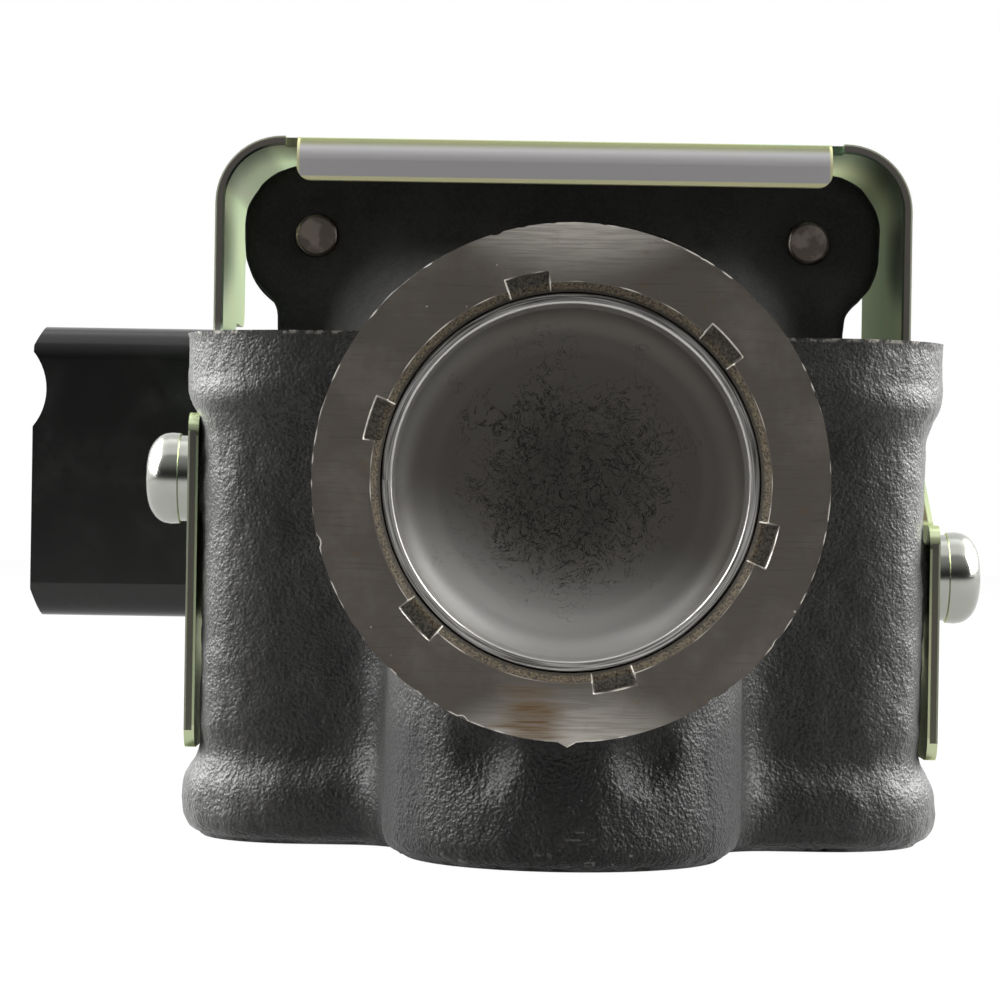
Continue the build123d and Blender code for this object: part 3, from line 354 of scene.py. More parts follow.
def tint(code: str) -> Colour:
    """Linear colour from a six-digit sRGB hex code."""
    parts = [int(code[i : i + 2], 16) / 255.0 for i in (0, 2, 4)]
    return tuple(c / 12.92 if c <= 0.04045 else ((c + 0.055) / 1.055) ** 2.4 for c in parts)


def grey(level: float) -> Colour:
    """Linear grey of one level."""
    return (level, level, level)


# ------------------------------------------------------------------ numbers and meshes
def unit(value: np.ndarray) -> np.ndarray:
    """Values kept between 0 and 1."""
    return np.clip(value, 0.0, 1.0)


def bell(value: np.ndarray, middle: float, reach: float) -> np.ndarray:
    """Bell curve: 1 at the middle and 1/e one reach away from it."""
    return np.exp(-(((value - middle) / reach) ** 2))


def full_turn(count: int) -> np.ndarray:
    """Evenly spaced angles of a full turn."""
    return np.linspace(0.0, math.tau, count, endpoint=False)


def all_round(stations: Sequence[float] | np.ndarray, turns: int) -> np.ndarray:
    """One value per station, repeated for every angle."""
    return np.repeat(np.asarray(stations)[:, None], turns, axis=1)


def flat_points(radius: float | np.ndarray, angle: np.ndarray) -> np.ndarray:
    """Points (r cos a, r sin a, 0), for waves that follow a circle."""
    x = radius * np.cos(angle)
    return np.stack([x, radius * np.sin(angle), np.zeros_like(x)], axis=-1)


def grid_faces(rows: int, columns: int) -> np.ndarray:
    """Quads over a grid of points whose last column joins the first.

    Args:
        rows: Number of point rows.
        columns: Number of points in a row.

    Returns:
        Vertex numbers, four per face.
    """
    row, column = np.meshgrid(np.arange(rows - 1), np.arange(columns), indexing="ij")
    following = (column + 1) % columns
    first = row * columns
    second = first + columns
    faces = np.stack([first + column, first + following, second + following, second + column], axis=-1)
    return faces.reshape(-1, 4)


def turned_points(radius: np.ndarray, y: np.ndarray, turns: int) -> np.ndarray:
    """Profile carried round the stem axis.

    The point for profile station i and angle a is (r[i] cos a, y[i], r[i] sin a + the axis height).

    Args:
        radius: Radii in metres, one per station, or one per station and angle.
        y: Y in metres, in the same layout.
        turns: Number of angles in a full turn.

    Returns:
        Points, stations by angles by 3.
    """
    angle = full_turn(turns)
    radius = radius[:, None] if radius.ndim == 1 else radius
    y = y[:, None] if y.ndim == 1 else y
    x = radius * np.cos(angle)
    return np.stack([x, np.broadcast_to(y, x.shape), radius * np.sin(angle) + AXIS_Z], axis=-1)


def rounded(corners: list[tuple[float, float, float]], steps: int) -> tuple[np.ndarray, np.ndarray]:
    """Profile line with each corner replaced by an arc that touches both of its sides.

    Args:
        corners: Radius, y and corner radius of each point, in millimetres.
        steps: Points on each arc.

    Returns:
        Radii and y of the profile, in metres.
    """
    line = np.array(corners) * MM
    made = [line[0, :2]]
    for before, corner, after in zip(line, line[1:], line[2:]):
        into, out = before[:2] - corner[:2], after[:2] - corner[:2]
        into, out = into / np.linalg.norm(into), out / np.linalg.norm(out)
        half = math.acos(float(np.clip(np.dot(into, out), -1.0, 1.0))) / 2
        if corner[2] <= 0 or half > math.pi / 2 - 0.01:
            made.append(corner[:2])
            continue
        middle = (into + out) / np.linalg.norm(into + out)
        centre = corner[:2] + middle * corner[2] / math.sin(half)
        reach = corner[2] / math.tan(half)
        start, end = corner[:2] + into * reach - centre, corner[:2] + out * reach - centre
        sweep = math.atan2(start[0] * end[1] - start[1] * end[0], float(np.dot(start, end)))
        for step in range(steps + 1):
            turn = sweep * step / steps
            c, s = math.cos(turn), math.sin(turn)
            made.append(centre + np.array([start[0] * c - start[1] * s, start[0] * s + start[1] * c]))
    made.append(line[-1, :2])
    made = np.array(made)
    return made[:, 0], made[:, 1]


def waves(points: np.ndarray, size: float, seed: int, count: int = 28) -> np.ndarray:
    """Seeded smooth random field: the mean of sines along random directions, about -1 to 1.

    Args:
        points: Places, any shape ending in 3.
        size: Typical wavelength in metres.
        seed: Seed of the directions and phases.
        count: Number of sines.

    Returns:
        One value per place.
    """
    random = np.random.default_rng(seed)
    direction = random.normal(size=(count, 3))
    direction /= np.linalg.norm(direction, axis=1, keepdims=True)
    pitch = math.tau / (size * random.uniform(0.7, 1.5, count))
    phase = random.uniform(0.0, math.tau, count)
    total = np.zeros(points.shape[:-1])
    for i in range(count):
        total += np.sin(points @ direction[i] * pitch[i] + phase[i])
    return total * math.sqrt(2.0 / count) * 0.6


def linked(name: str, data: Any) -> bpy.types.Object:
    """New object in the scene.

    Args:
        name: Name of the object.
        data: Its mesh, camera or light.

    Returns:
        The object.
    """
    made = bpy.data.objects.new(name, data)
    bpy.context.scene.collection.objects.link(made)
    return made


def read(items: Any, name: str, width: int = 1, kind: type = float) -> np.ndarray:
    """One field of every vertex, edge, loop or face of a mesh.

    Args:
        items: Vertices, edges, loops, faces or normals of the mesh.
        name: Field to read.
        width: Numbers per item.
        kind: Type of the numbers.

    Returns:
        The values, n by width, or n alone for one number per item.
    """
    values = np.empty(len(items) * width, dtype=kind)
    items.foreach_get(name, values)
    return values.reshape(-1, width) if width > 1 else values


def put_places(mesh: bpy.types.Mesh, place: np.ndarray) -> None:
    """Puts vertex places, n by 3, into a mesh."""
    mesh.vertices.foreach_set("co", place.ravel())
    mesh.update()


def merged_mesh(node: bpy.types.Object, name: str) -> bpy.types.Mesh:
    """Copy of a CAD node's mesh with its loose triangles joined up.

    Args:
        node: CAD node.
        name: Name of the copy.

    Returns:
        The mesh.
    """
    shape = bmesh.new()
    shape.from_mesh(node.data)
    bmesh.ops.remove_doubles(shape, verts=shape.verts, dist=CAD_JOIN)
    mesh = bpy.data.meshes.new(name)
    shape.to_mesh(mesh)
    shape.free()
    return mesh


def open_edges(mesh: bpy.types.Mesh) -> np.ndarray:
    """Vertex numbers of the edges that only one face uses, n by 2."""
    uses = np.bincount(read(mesh.loops, "edge_index", kind=int), minlength=len(mesh.edges))
    return read(mesh.edges, "vertices", 2, int)[uses == 1]


def drop_faces(mesh: bpy.types.Mesh, drop: np.ndarray) -> None:
    """Deletes the marked faces of a mesh, and what only they used.

    Args:
        mesh: Mesh to change.
        drop: True for each face that goes.
    """
    shape = bmesh.new()
    shape.from_mesh(mesh)
    shape.faces.ensure_lookup_table()
    bmesh.ops.delete(shape, geom=[shape.faces[i] for i in np.flatnonzero(drop)], context="FACES")
    shape.to_mesh(mesh)
    shape.free()


def onto_segments(place: np.ndarray, start: np.ndarray, end: np.ndarray) -> np.ndarray:
    """Nearest point to each place on any of the given segments.

    Args:
        place: Places, n by 3.
        start: First ends of the segments, m by 3.
        end: Second ends of the segments, m by 3.

    Returns:
        Points, n by 3.
    """
    along = end - start
    offset = place[:, None] - start[None]
    share = np.clip((offset * along).sum(-1) / np.maximum((along * along).sum(-1), 1e-18), 0.0, 1.0)
    candidate = start[None] + along[None] * share[..., None]
    nearest = np.linalg.norm(candidate - place[:, None], axis=-1).argmin(axis=1)
    return candidate[np.arange(len(place)), nearest]


@dataclass
class Piece:
    """A new piece of the visual model."""

    name: str
    body: str
    slot: str
    replaces: tuple[str, ...]
    sharp_deg: float

    def raise_mesh(
        self,
        points: np.ndarray,
        material: bpy.types.Material,
        traces: dict[str, np.ndarray] | None = None,
        faces: np.ndarray | None = None,
    ) -> bpy.types.Object:
        """Args:
            points: Places in metres, stations by angles by 3, or n by 3 with faces given.
            material: Finish of every face.
            traces: Vertex attributes by name, one value per point, for the finish to read.
            faces: Vertex numbers, four per face; else quads over the stations and angles.

        Returns:
            The object.
        """
        faces = grid_faces(*points.shape[:2]) if faces is None else faces
        mesh = bpy.data.meshes.new(self.name)
        mesh.from_pydata(points.reshape(-1, 3).tolist(), [], faces.tolist())
        for name, values in (traces or {}).items():
            data = mesh.attributes.new(name, "FLOAT", "POINT").data
            data.foreach_set("value", values.ravel().astype(np.float32))
        shape = bmesh.new()
        shape.from_mesh(mesh)
        bmesh.ops.remove_doubles(shape, verts=shape.verts, dist=GRID_JOIN)
        bmesh.ops.recalc_face_normals(shape, faces=shape.faces)
        shape.to_mesh(mesh)
        shape.free()
        return self.declare(mesh, material)

    def declare(self, mesh: bpy.types.Mesh, material: bpy.types.Material) -> bpy.types.Object:
        """Puts a finished mesh into the scene as a piece on its body.

        Args:
            mesh: Mesh in the shared frame.
            material: Its finish.

        Returns:
            The object.
        """
        mesh.shade_smooth()
        mesh.set_sharp_from_angle(angle=math.radians(self.sharp_deg))
        mesh.materials.append(material)
        piece = linked(self.name, mesh)
        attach(piece, self.body)
        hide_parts(*self.replaces)
        LOG.info("%s: %d faces on %s", self.name, len(mesh.polygons), self.body)
        return piece


# ------------------------------------------------------------------ finishes
@dataclass(frozen=True)
class Finish:
    """A surface finish; build() makes its material."""

    name: str

    def build(self) -> bpy.types.Material:
        """Makes the material, with this finish painted on one Principled shader.

        Returns:
            The material.
        """
        material = bpy.data.materials.new(self.name)
        graph = Graph(material)
        shader = graph.add("ShaderNodeBsdfPrincipled")
        self.paint(graph, shader)
        graph.show("ShaderNodeOutputMaterial", self.surface(graph, shader))
        return material

    def surface(self, graph: Graph, shader: bpy.types.Node) -> bpy.types.Node:
        """Shader to show; a finish may blend in another one."""
        return shader

    def paint(self, graph: Graph, shader: bpy.types.Node) -> None:
        """Feeds the shader's sockets; each finish has its own."""
        raise NotImplementedError


@dataclass(frozen=True)
class CastPaint(Finish):
    """Satin black paint over the grain of a sand casting."""

    grain: float = 0.48 * MM
    depth: float = 0.12 * MM
    sheen: float = 0.24
    sheen_roughness: float = 0.4
    top: float = 53.5 * MM
    filed_centre: Pair = (1.5 * MM, 3.6 * MM)
    filed_reach: Pair = (1.8 * MM, 0.8 * MM)
    # Share of the painted shade blended in under the ring.
    painted_shade: float = 0.42
    colour: Colour = tint("131311")
    dusty: Colour = tint("2f2e2a")
    # Near-black of real pits and of painted shade.
    pit_and_shade: Colour = tint("0b0b0b")
    bare: Colour = tint("a09b92")

    def paint(self, graph: Graph, shader: bpy.types.Node) -> None:
        """Lumps and pits in the bump, dust on the high spots, painted shade in the valleys beside the bulge,
        bare chips at the foot and machined edges.

        Args:
            graph: Node tree of the material.
            shader: Its Principled shader.
        """
        place = graph.place()
        x, y, z = graph.split(place)
        wide = abs(x)
        lumps = graph.noise(place, self.grain * 2.6, 2.0, 0.5)
        grain = graph.noise(place, self.grain, 2.0, 0.5)
        sand = graph.cells(place, self.grain * 0.8)
        fine = graph.noise(place, self.grain * 0.45, 1.0, 0.5)
        behind = y.rise(5.0 * MM, 15.0 * MM)
        low = z.rise(20.0 * MM, 12.0 * MM) * y.rise(-12.0 * MM, -18.0 * MM)
        height = (lumps * 0.5 + grain - sand * 0.5 + fine * 0.4) * (1.0 - behind * 0.6 + low * 0.5)
        pits = (grain * 0.6 + fine * 0.6 - sand * 0.2).rise(0.5, 0.38) * (1.0 - behind)
        dust = graph.noise(place, 7.0 * MM, 3.0, 0.65)
        tone = (dust * 0.6 + grain * 0.35 + fine * 0.4).rise(0.5, 0.85)
        # Painted shade: the valleys between the bulge and the columns are darkened towards near-black.
        flank = wide.within(12.5 * MM, 15.0 * MM, 17.5 * MM, 20.0 * MM)
        flank = flank * z.rise(16.0 * MM, 12.0 * MM) * y.rise(-8.0 * MM, -12.0 * MM)
        colour = graph.mix(pits * 0.7, graph.mix(tone, self.colour, self.dusty), self.pit_and_shade)
        colour = graph.mix(flank * 0.75, colour, self.pit_and_shade)
        bare = self.chipped(graph, place, wide).most(self.filed(graph, place) * 0.35)
        values = {
            "Base Color": graph.mix(bare, colour, self.bare),
            "Sheen Weight": self.sheen,
            "Sheen Roughness": self.sheen_roughness,
            "Roughness": 0.42 + tone * 0.08 + pits * 0.2 + behind * 0.3 + flank * 0.2,
            "Normal": graph.bump(height, self.depth),
        }
        graph.dress(shader, values)

    def chipped(self, graph: Graph, place: Signal, wide: Signal) -> Signal:
        """Bare metal where paint has come off.

        Args:
            graph: Node tree of the material.
            place: Object coordinates.
            wide: Distance from the middle plane.

        Returns:
            Share of bare metal: flakes along the foot, and chips along the edges of the machined tops.
        """
        _, y, z = graph.split(place)
        chips = graph.noise(place, 1.1 * MM, 3.0, 0.6)
        foot = z.rise(3.4 * MM, 0.8 * MM) * y.rise(-30.0 * MM, -34.0 * MM)
        flakes = chips.rise(0.58, 0.62) * foot * graph.noise(place, 9.0 * MM, 1.0).rise(0.48, 0.56)
        edge = z.within(self.top - 0.5 * MM, self.top - 0.1 * MM, self.top + 0.1 * MM, self.top + 0.3 * MM)
        edge = edge * y.within(-20.0 * MM, -19.0 * MM, 13.0 * MM, 14.0 * MM)
        edge = edge * wide.rise(16.2 * MM, 16.8 * MM) * chips.rise(0.47, 0.6)
        return flakes.most(edge * 0.8)

    def filed(self, graph: Graph, place: Signal) -> Signal:
        """File strokes in one spot on the front of the foot.

        Args:
            graph: Node tree of the material.
            place: Object coordinates.

        Returns:
            Share of bare metal.
        """
        x, y, z = graph.split(place)
        spot = graph.oval(x, z, self.filed_centre, self.filed_reach).rise(1.0, 0.5)
        strokes = graph.noise(graph.mapped(place, scale=(0.1, 1.0, 1.0)), 0.3 * MM, 2.0, 0.7)
        return spot * y.rise(-30.0 * MM, -32.0 * MM) * strokes.rise(0.5, 0.62)

    def surface(self, graph: Graph, shader: bpy.types.Node) -> bpy.types.Node:
        """Painted shade: a dark matte shader blended in on the bulge under the ring and beside it.

        Args:
            graph: Node tree of the material.
            shader: Shader of the satin paint.

        Returns:
            The blend.
        """
        x, y, z = graph.split(graph.place())
        # Painted shade under the ring, as a blend towards dark matte.
        belly = abs(x).rise(20.5 * MM, 17.5 * MM) * z.rise(22.0 * MM, 15.0 * MM)
        belly = belly * y.rise(-9.0 * MM, -14.0 * MM)
        return graph.blend(belly * self.painted_shade, shader, graph.matte(self.pit_and_shade))


@dataclass(frozen=True)
class MachinedIron(Finish):
    """Faced cast iron: brown-grey bare metal with brushed streaks, scratches, pits and a rust patch."""

    colour: Colour = tint("5c564f")
    bright: Colour = tint("827b73")
    worn_and_highlight: Colour = tint("d8d3c9")
    # Near-white of the painted highlight on burrs and edges.
    burr_and_glint: Colour = tint("ebe6dc")
    rust: Colour = tint("6c5230")
    tan: Colour = tint("70644e")
    soot: Colour = tint("27231f")
    floor_dark: Colour = tint("35322d")
    floor_pale: Colour = tint("6d685f")
    rust_centre: Pair = (-3.4 * MM, 15.2 * MM)
    rust_reach: Pair = (4.3 * MM, 3.8 * MM)
    depth: float = 0.03 * MM

    def paint(self, graph: Graph, shader: bpy.types.Node) -> None:
        """Level streaks, with a painted highlight above and below; tan grit in the mouth; dark floors, and
        painted highlights on the burrs and edges.

        Args:
            graph: Node tree of the material.
            shader: Its Principled shader.
        """
        place = graph.place()
        radius, _ = graph.stem_polar(place)
        x, _, z = graph.split(place)
        glint, press = graph.attribute("glint"), graph.attribute("press")
        level = graph.mapped(place, scale=(0.04, 1.0, 1.0))
        lines = graph.noise(level, 0.22 * MM, 3.0, 0.7)
        blotch = graph.noise(place, 6.0 * MM, 4.0, 0.62)
        grit = graph.noise(place, 0.24 * MM, 3.0, 0.7)
        # Painted highlight: the ring is lighter above and below, where its level streaks catch the light.
        height = (z - AXIS_Z) / (25.0 * MM)
        sideways = x / (17.0 * MM)
        ends = (height * height - sideways * sideways * 0.55).rise(0.5, 1.0)
        colour = graph.mix(blotch.rise(0.42, 0.8) * 0.45, self.colour, self.bright)
        colour = graph.mix(ends * (0.5 + lines.rise(0.35, 0.7) * 0.5), colour, self.worn_and_highlight)
        colour = graph.mix(lines.rise(0.5, 0.8) * 0.3, colour, self.soot)
        near = graph.oval(x, z, self.rust_centre, self.rust_reach) ** 0.5
        rust = (near + graph.noise(level, 0.7 * MM, 3.0, 0.7) * 1.7).rise(1.85, 1.15)
        tinge = graph.noise(place, 3.2 * MM, 3.0, 0.7).rise(0.6, 0.75) * 0.3
        streaky = rust * (0.45 + lines.rise(0.35, 0.65) * 0.5)
        colour = graph.mix(streaky.most(tinge), colour, self.rust)
        mouth = radius.rise(19.28 * MM, 19.18 * MM)
        tan_grit = graph.mix(grit.rise(0.35, 0.65), self.soot, self.tan)
        colour = graph.mix(mouth * (1.0 - press), colour, tan_grit)
        # Darker inside 18.5 mm radius, in the recess beside the cup's rim.
        crevice = radius.rise(18.72 * MM, 18.5 * MM)
        colour = graph.mix(crevice * 0.8, colour, self.soot)
        specks = graph.cells(place, 1.9 * MM).rise(0.09, 0.05)
        specks = specks * graph.noise(place, 3.0 * MM, 1.0).rise(0.5, 0.62)
        colour = graph.mix(specks, colour, graph.mix(grit.rise(0.45, 0.55), self.soot, self.worn_and_highlight))
        colour = graph.mix(press, colour, graph.mix(grit.rise(0.35, 0.7), self.floor_dark, self.floor_pale))
        relief = lines * 0.6 + blotch * 0.4 + grit * (press + mouth)
        values = {
            "Metallic": 0.45 + glint * 0.3 - mouth * 0.3,
            # Painted highlight: near-white on the burrs, the ragged outer edge and a line round the mouth.
            "Base Color": graph.mix(glint.rise(0.35, 0.85), colour, self.burr_and_glint),
            "Roughness": 0.44 + blotch * 0.14 + mouth * 0.2 - glint * 0.1,
            "Normal": graph.bump(relief, self.depth),
        }
        graph.dress(shader, values)


@dataclass(frozen=True)
class DrawnCup(Finish):
    """Drawn steel of the cup plug: fine rings, a floor with soot under a painted reflection that is dark
    above and light below, and a bright rim.
    """

    colour: Colour = tint("ecebe8")
    dark: Colour = tint("66625d")
    soot: Colour = tint("151514")
    rim: Colour = tint("d6d3cf")
    depth: float = 0.02 * MM
    ring_pitch: float = 2.0 * MM
    curl_move: Point = (0.03, 0.0, 0.01)

    def paint(self, graph: Graph, shader: bpy.types.Node) -> None:
        """Painted reflection, dark in the middle and above and light below; fine sooty scribbles and a cloud
        in the middle.

        Args:
            graph: Node tree of the material.
            shader: Its Principled shader.
        """
        place = graph.place()
        radius, turn = graph.stem_polar(place)
        x, _, z = graph.split(place)
        rings = graph.noise(graph.joined(radius, turn * self.ring_pitch, 0.0), 0.16 * MM, 2.0, 0.6)
        # Painted reflection: darker above and in the middle, lighter below and round the left of the fillet.
        low = (AXIS_Z - z - x * 0.25) / (17.0 * MM)
        left = radius.rise(15.0 * MM, 17.0 * MM) * (x / (-17.0 * MM)).rise(0.2, 1.0)
        shine = (low.rise(0.12, 1.1) * radius.rise(5.0 * MM, 16.0 * MM)).most(left * 0.18)
        bead = radius.rise(17.0 * MM, 17.15 * MM)
        flat = radius.rise(17.42 * MM, 17.52 * MM)
        fillet = radius.rise(12.6 * MM, 14.2 * MM) * (1.0 - bead)
        colour = graph.mix(shine, self.dark, self.colour)
        colour = graph.mix(bead * (0.6 + rings * 0.4), colour, self.rim)
        colour = graph.mix(flat, colour, graph.mix(rings.rise(0.35, 0.65), self.dark, self.colour))
        cloud = graph.noise(place, 5.5 * MM, 4.0, 0.65)
        reach = radius.rise(16.0 * MM, 3.0 * MM)
        smoke = (cloud * 0.7 + reach * 0.75).rise(0.72, 1.3)
        curls = graph.noise(place, 3.4 * MM, 4.0, 0.62, 2.6)
        hair = self.threads(curls) * (cloud + reach * 0.6).rise(0.55, 0.85)
        curls = graph.noise(graph.mapped(place, move=self.curl_move), 2.1 * MM, 4.0, 0.66, 3.4)
        hair = hair.most(self.threads(curls) * (reach * 0.8 + cloud * 0.4).rise(0.48, 0.8))
        blots = graph.noise(place, 1.5 * MM, 5.0, 0.72, 1.4).rise(0.6, 0.67)
        blots = blots * (reach + cloud * 0.5).rise(0.55, 1.05)
        dirt = (smoke * 0.5).most(hair * 0.95).most(blots * 0.95)
        values = {
            "Metallic": 0.8 - fillet * 0.25,
            "Base Color": graph.mix(dirt, colour, self.soot),
            "Roughness": 0.36 + dirt * 0.2 + fillet * 0.24 - bead * 0.06,
            "Normal": graph.bump(rings * (bead + 0.15) + dirt * 0.3, self.depth),
        }
        graph.dress(shader, values)

    @staticmethod
    def threads(curls: Signal) -> Signal:
        """Thin lines where a field crosses its middle value."""
        return abs(curls - 0.5).rise(0.022, 0.006)


@dataclass(frozen=True)
class YellowZinc(Finish):
    """Yellow-passivated zinc: a thin film whose colour drifts from straw to green, teal and rose."""

    roughness: float = 0.25
    front: float = 23.6 * MM
    leg_front: float = 24.6 * MM
    tab_front: float = -5.44 * MM
    half: float = 39.9 * MM
    bend: float = 7.7 * MM
    lip_half: float = 30.7 * MM
    lip_low: float = 72.0 * MM
    top: float = 77.5 * MM
    corner_centre: Pair = (-36.4 * MM, 74.0 * MM)
    corner_reach: Pair = (3.4 * MM, 3.0 * MM)
    glare: Colour = (0.86, 0.93, 0.62)
    teal: Colour = tint("24453f")
    # Flat grey of the lip's painted reflection.
    lip: Colour = tint("9c9a9c")
    # Colour of the painted shade on the top of the lip.
    line: Colour = tint("64664c")
    # Painted highlight along the lip's lower edge and its end.
    highlight_line: Colour = tint("c3c190")
    # Painted shade on the front edges of the sheet.
    edge_shade: Colour = tint("57524f")
    # Painted highlight along the outside of the front edges.
    rim: Colour = tint("a9ac98")
    shade: Colour = tint("23271f")
    # Brown of the painted shade in the wedge beside the right tab.
    brown: Colour = tint("4a3b26")
    hues: tuple[tuple[float, Colour], ...] = (
        (0.0, tint("c9c6ae")),
        (0.22, tint("d5d8b0")),
        (0.42, tint("c3d0a8")),
        (0.56, tint("a9c9b4")),
        (0.70, tint("c9d1ad")),
        (0.85, tint("cbb9b0")),
        (1.0, tint("b5c6a6")),
    )

    def paint(self, graph: Graph, shader: bpy.types.Node) -> None:
        """Film colours over the sheet, darker and teal at the left bend.

        Args:
            graph: Node tree of the material.
            shader: Its Principled shader.
        """
        place = graph.place()
        x, _, z = graph.split(place)
        drift = graph.noise(place, 16.0 * MM, 2.0, 0.5)
        film = drift * 0.7 + (z / (95.0 * MM)) * 0.45 - 0.1
        corner = graph.oval(x, z, self.corner_centre, self.corner_reach).rise(1.5, 0.5)
        values = {
            "Metallic": 1.0,
            "Roughness": self.roughness,
            "Specular Tint": self.glare,
            "Base Color": graph.mix(corner * 0.92, graph.ramp(film, self.hues), self.teal),
        }
        graph.dress(shader, values)

    def surface(self, graph: Graph, shader: bpy.types.Node) -> bpy.types.Node:
        """Plated sheet blended with matte painted light: a painted reflection on the grey lip with painted
        shade and highlight lines, painted shade and a highlight line on the cut front edges, and painted
        shade on the right leg.

        Args:
            graph: Node tree of the material.
            shader: Shader of the plated sheet.

        Returns:
            The blend.
        """
        x, y, z = graph.split(graph.place())
        wide = abs(x)
        depth = self.depth(wide, z)
        # Painted reflection: the lip is shown as flat grey matte.
        lip = wide.rise(self.lip_half + 0.2 * MM, self.lip_half) * z.rise(self.lip_low - MM, self.lip_low)
        lip = lip * y.rise(self.front + 1.8 * MM, self.front + 1.4 * MM)
        edge = y.rise(self.leg_front + 0.08 * MM, self.leg_front + 0.04 * MM) * y.rise(20.0 * MM, 22.0 * MM)
        edge = edge.most(y.rise(self.tab_front + 0.02 * MM, self.tab_front)) * (1.0 - lip)
        edge = edge * depth.rise(0.9 * MM, 0.8 * MM)
        # Painted shade inside the right leg, and a brown painted shade in the wedge beside the right tab.
        right = x.within(31.0 * MM, 37.5 * MM, 39.2 * MM, 39.6 * MM) * y.rise(self.front, self.front + MM)
        wedge = x.within(38.0 * MM, 38.5 * MM, 39.3 * MM, 39.5 * MM) * y.rise(self.front, self.front - MM)
        wedge = wedge * z.rise(34.3 * MM, 34.8 * MM)
        # Painted shade on the top of the lip; painted highlight lines along its lower edge and its end.
        upper = z.rise(self.top - 1.5 * MM, self.top - 0.6 * MM)
        low_line = z.rise(self.lip_low + 0.95 * MM, self.lip_low + 0.8 * MM)
        end_line = wide.rise(self.lip_half - 0.5 * MM, self.lip_half - 0.3 * MM)
        face = graph.mix(upper, self.lip, self.line)
        face = graph.mix(low_line.most(end_line) * 0.8, face, self.highlight_line)
        # Painted light on the front edges: a painted highlight along the outside, painted shade further in.
        strip = graph.mix(depth.rise(0.24 * MM, 0.14 * MM), self.edge_shade, self.rim)
        colour = graph.mix(edge, graph.mix(wedge, self.shade, self.brown), strip)
        share = (lip * 0.95).most(right.most(wedge) * 0.85).most(edge * 0.9)
        return graph.blend(share, shader, graph.matte(graph.mix(lip, colour, face)))

    def depth(self, wide: Signal, z: Signal) -> Signal:
        """Depth below the outside of the bent sheet, which is a rounded rectangle seen from the front.

        Args:
            wide: Distance from the middle plane.
            z: Height.

        Returns:
            The depth in metres.
        """
        side = wide - (self.half - self.bend)
        up = z - (self.top - self.bend)
        past_side, past_up = side.most(0.0), up.most(0.0)
        round_out = (past_side * past_side + past_up * past_up) ** 0.5
        return self.bend - round_out - side.most(up).least(0.0)


@dataclass(frozen=True)
class PlainMetal(Finish):
    """Ground, rolled or plated metal with fine streaks."""

    colour: Colour
    roughness: float
    tarnish: Colour = tint("857c75")
    tarnished_to: float = -FAR

    def paint(self, graph: Graph, shader: bpy.types.Node) -> None:
        """Streaky roughness and small tone changes over plain metal, tarnished in front of a given Y.

        Args:
            graph: Node tree of the material.
            shader: Its Principled shader.
        """
        place = graph.place()
        _, y, _ = graph.split(place)
        dull = y.rise(self.tarnished_to + 0.5 * MM, self.tarnished_to)
        streaks = graph.noise(graph.mapped(place, scale=(1.0, 0.12, 1.0)), 0.5 * MM, 3.0, 0.6)
        blotch = graph.noise(place, 4.0 * MM, 2.0)
        darker = tuple(c * 0.8 for c in self.colour)
        paler = tuple(min(1.0, c * 1.8) for c in self.tarnish)
        stain = graph.noise(place, 1.8 * MM, 2.0).rise(0.42, 0.62)
        clean = graph.mix(blotch, self.colour, darker)
        values = {
            "Metallic": 1.0,
            "Base Color": graph.mix(dull, clean, graph.mix(stain, self.tarnish, paler)),
            "Roughness": self.roughness + streaks * 0.12 + dull * 0.25,
        }
        graph.dress(shader, values)


@dataclass(frozen=True)
class Moulded(Finish):
    """Moulded plastic, rubber or a coated sheet."""

    colour: Colour
    roughness: float
    peel: float = 0.003 * MM

    def paint(self, graph: Graph, shader: bpy.types.Node) -> None:
        """Very slight orange peel and dust.

        Args:
            graph: Node tree of the material.
            shader: Its Principled shader.
        """
        place = graph.place()
        peel = graph.noise(place, 2.2 * MM, 1.0)
        dust = graph.noise(place, 9.0 * MM, 4.0, 0.7).rise(0.45, 0.8)
        dusty = tuple(c + 0.004 for c in self.colour)
        values = {
            "Base Color": graph.mix(dust, self.colour, dusty),
            "Roughness": self.roughness + dust * 0.1,
            "Normal": graph.bump(peel, self.peel),
        }
        graph.dress(shader, values)


class Stock(Enum):
    """Finishes of the plain pieces, by kind of stock."""

    GROUND_STEEL = PlainMetal("ground_steel", tint("b4b2ae"), 0.26)
    SPRING_WIRE = PlainMetal("spring_wire", tint("8d8d90"), 0.3)
    BEARING_STEEL = PlainMetal("bearing_steel", tint("c6c6c8"), 0.18)
    STAMPED_STEEL = PlainMetal("stamped_steel", tint("9a9a9e"), 0.36)
    CAST_ALUMINIUM = PlainMetal("cast_aluminium", tint("b9babb"), 0.42)
    BRONZE = PlainMetal("sintered_bronze", tint("a67c4a"), 0.4)
    COPPER = PlainMetal("coil_copper", tint("b06a3c"), 0.32)
    TINNED = PlainMetal("tinned_brass", tint("cfcabd"), 0.22)
    CLEAR_ZINC = PlainMetal("zinc_clear", tint("b8bab2"), 0.14)
    THROUGH_SCREW = PlainMetal("through_screw", tint("d0d2cb"), 0.14, tarnished_to=33.0 * MM)
    RUBBER = Moulded("seal_rubber", (0.012, 0.012, 0.012), 0.6)
    GASKET = Moulded("gasket_coat", (0.05, 0.05, 0.052), 0.6)
    FERRITE = Moulded("magnet_ferrite", (0.03, 0.03, 0.032), 0.5)
    MOTOR_PLASTIC = Moulded("motor_plastic", (0.006, 0.0062, 0.006), 0.2)
    CAST_BLACK = CastPaint("cast_black")
    MACHINED_IRON = MachinedIron("machined_iron")
    DRAWN_CUP = DrawnCup("drawn_cup")
    YELLOW_ZINC = YellowZinc("zinc_yellow")


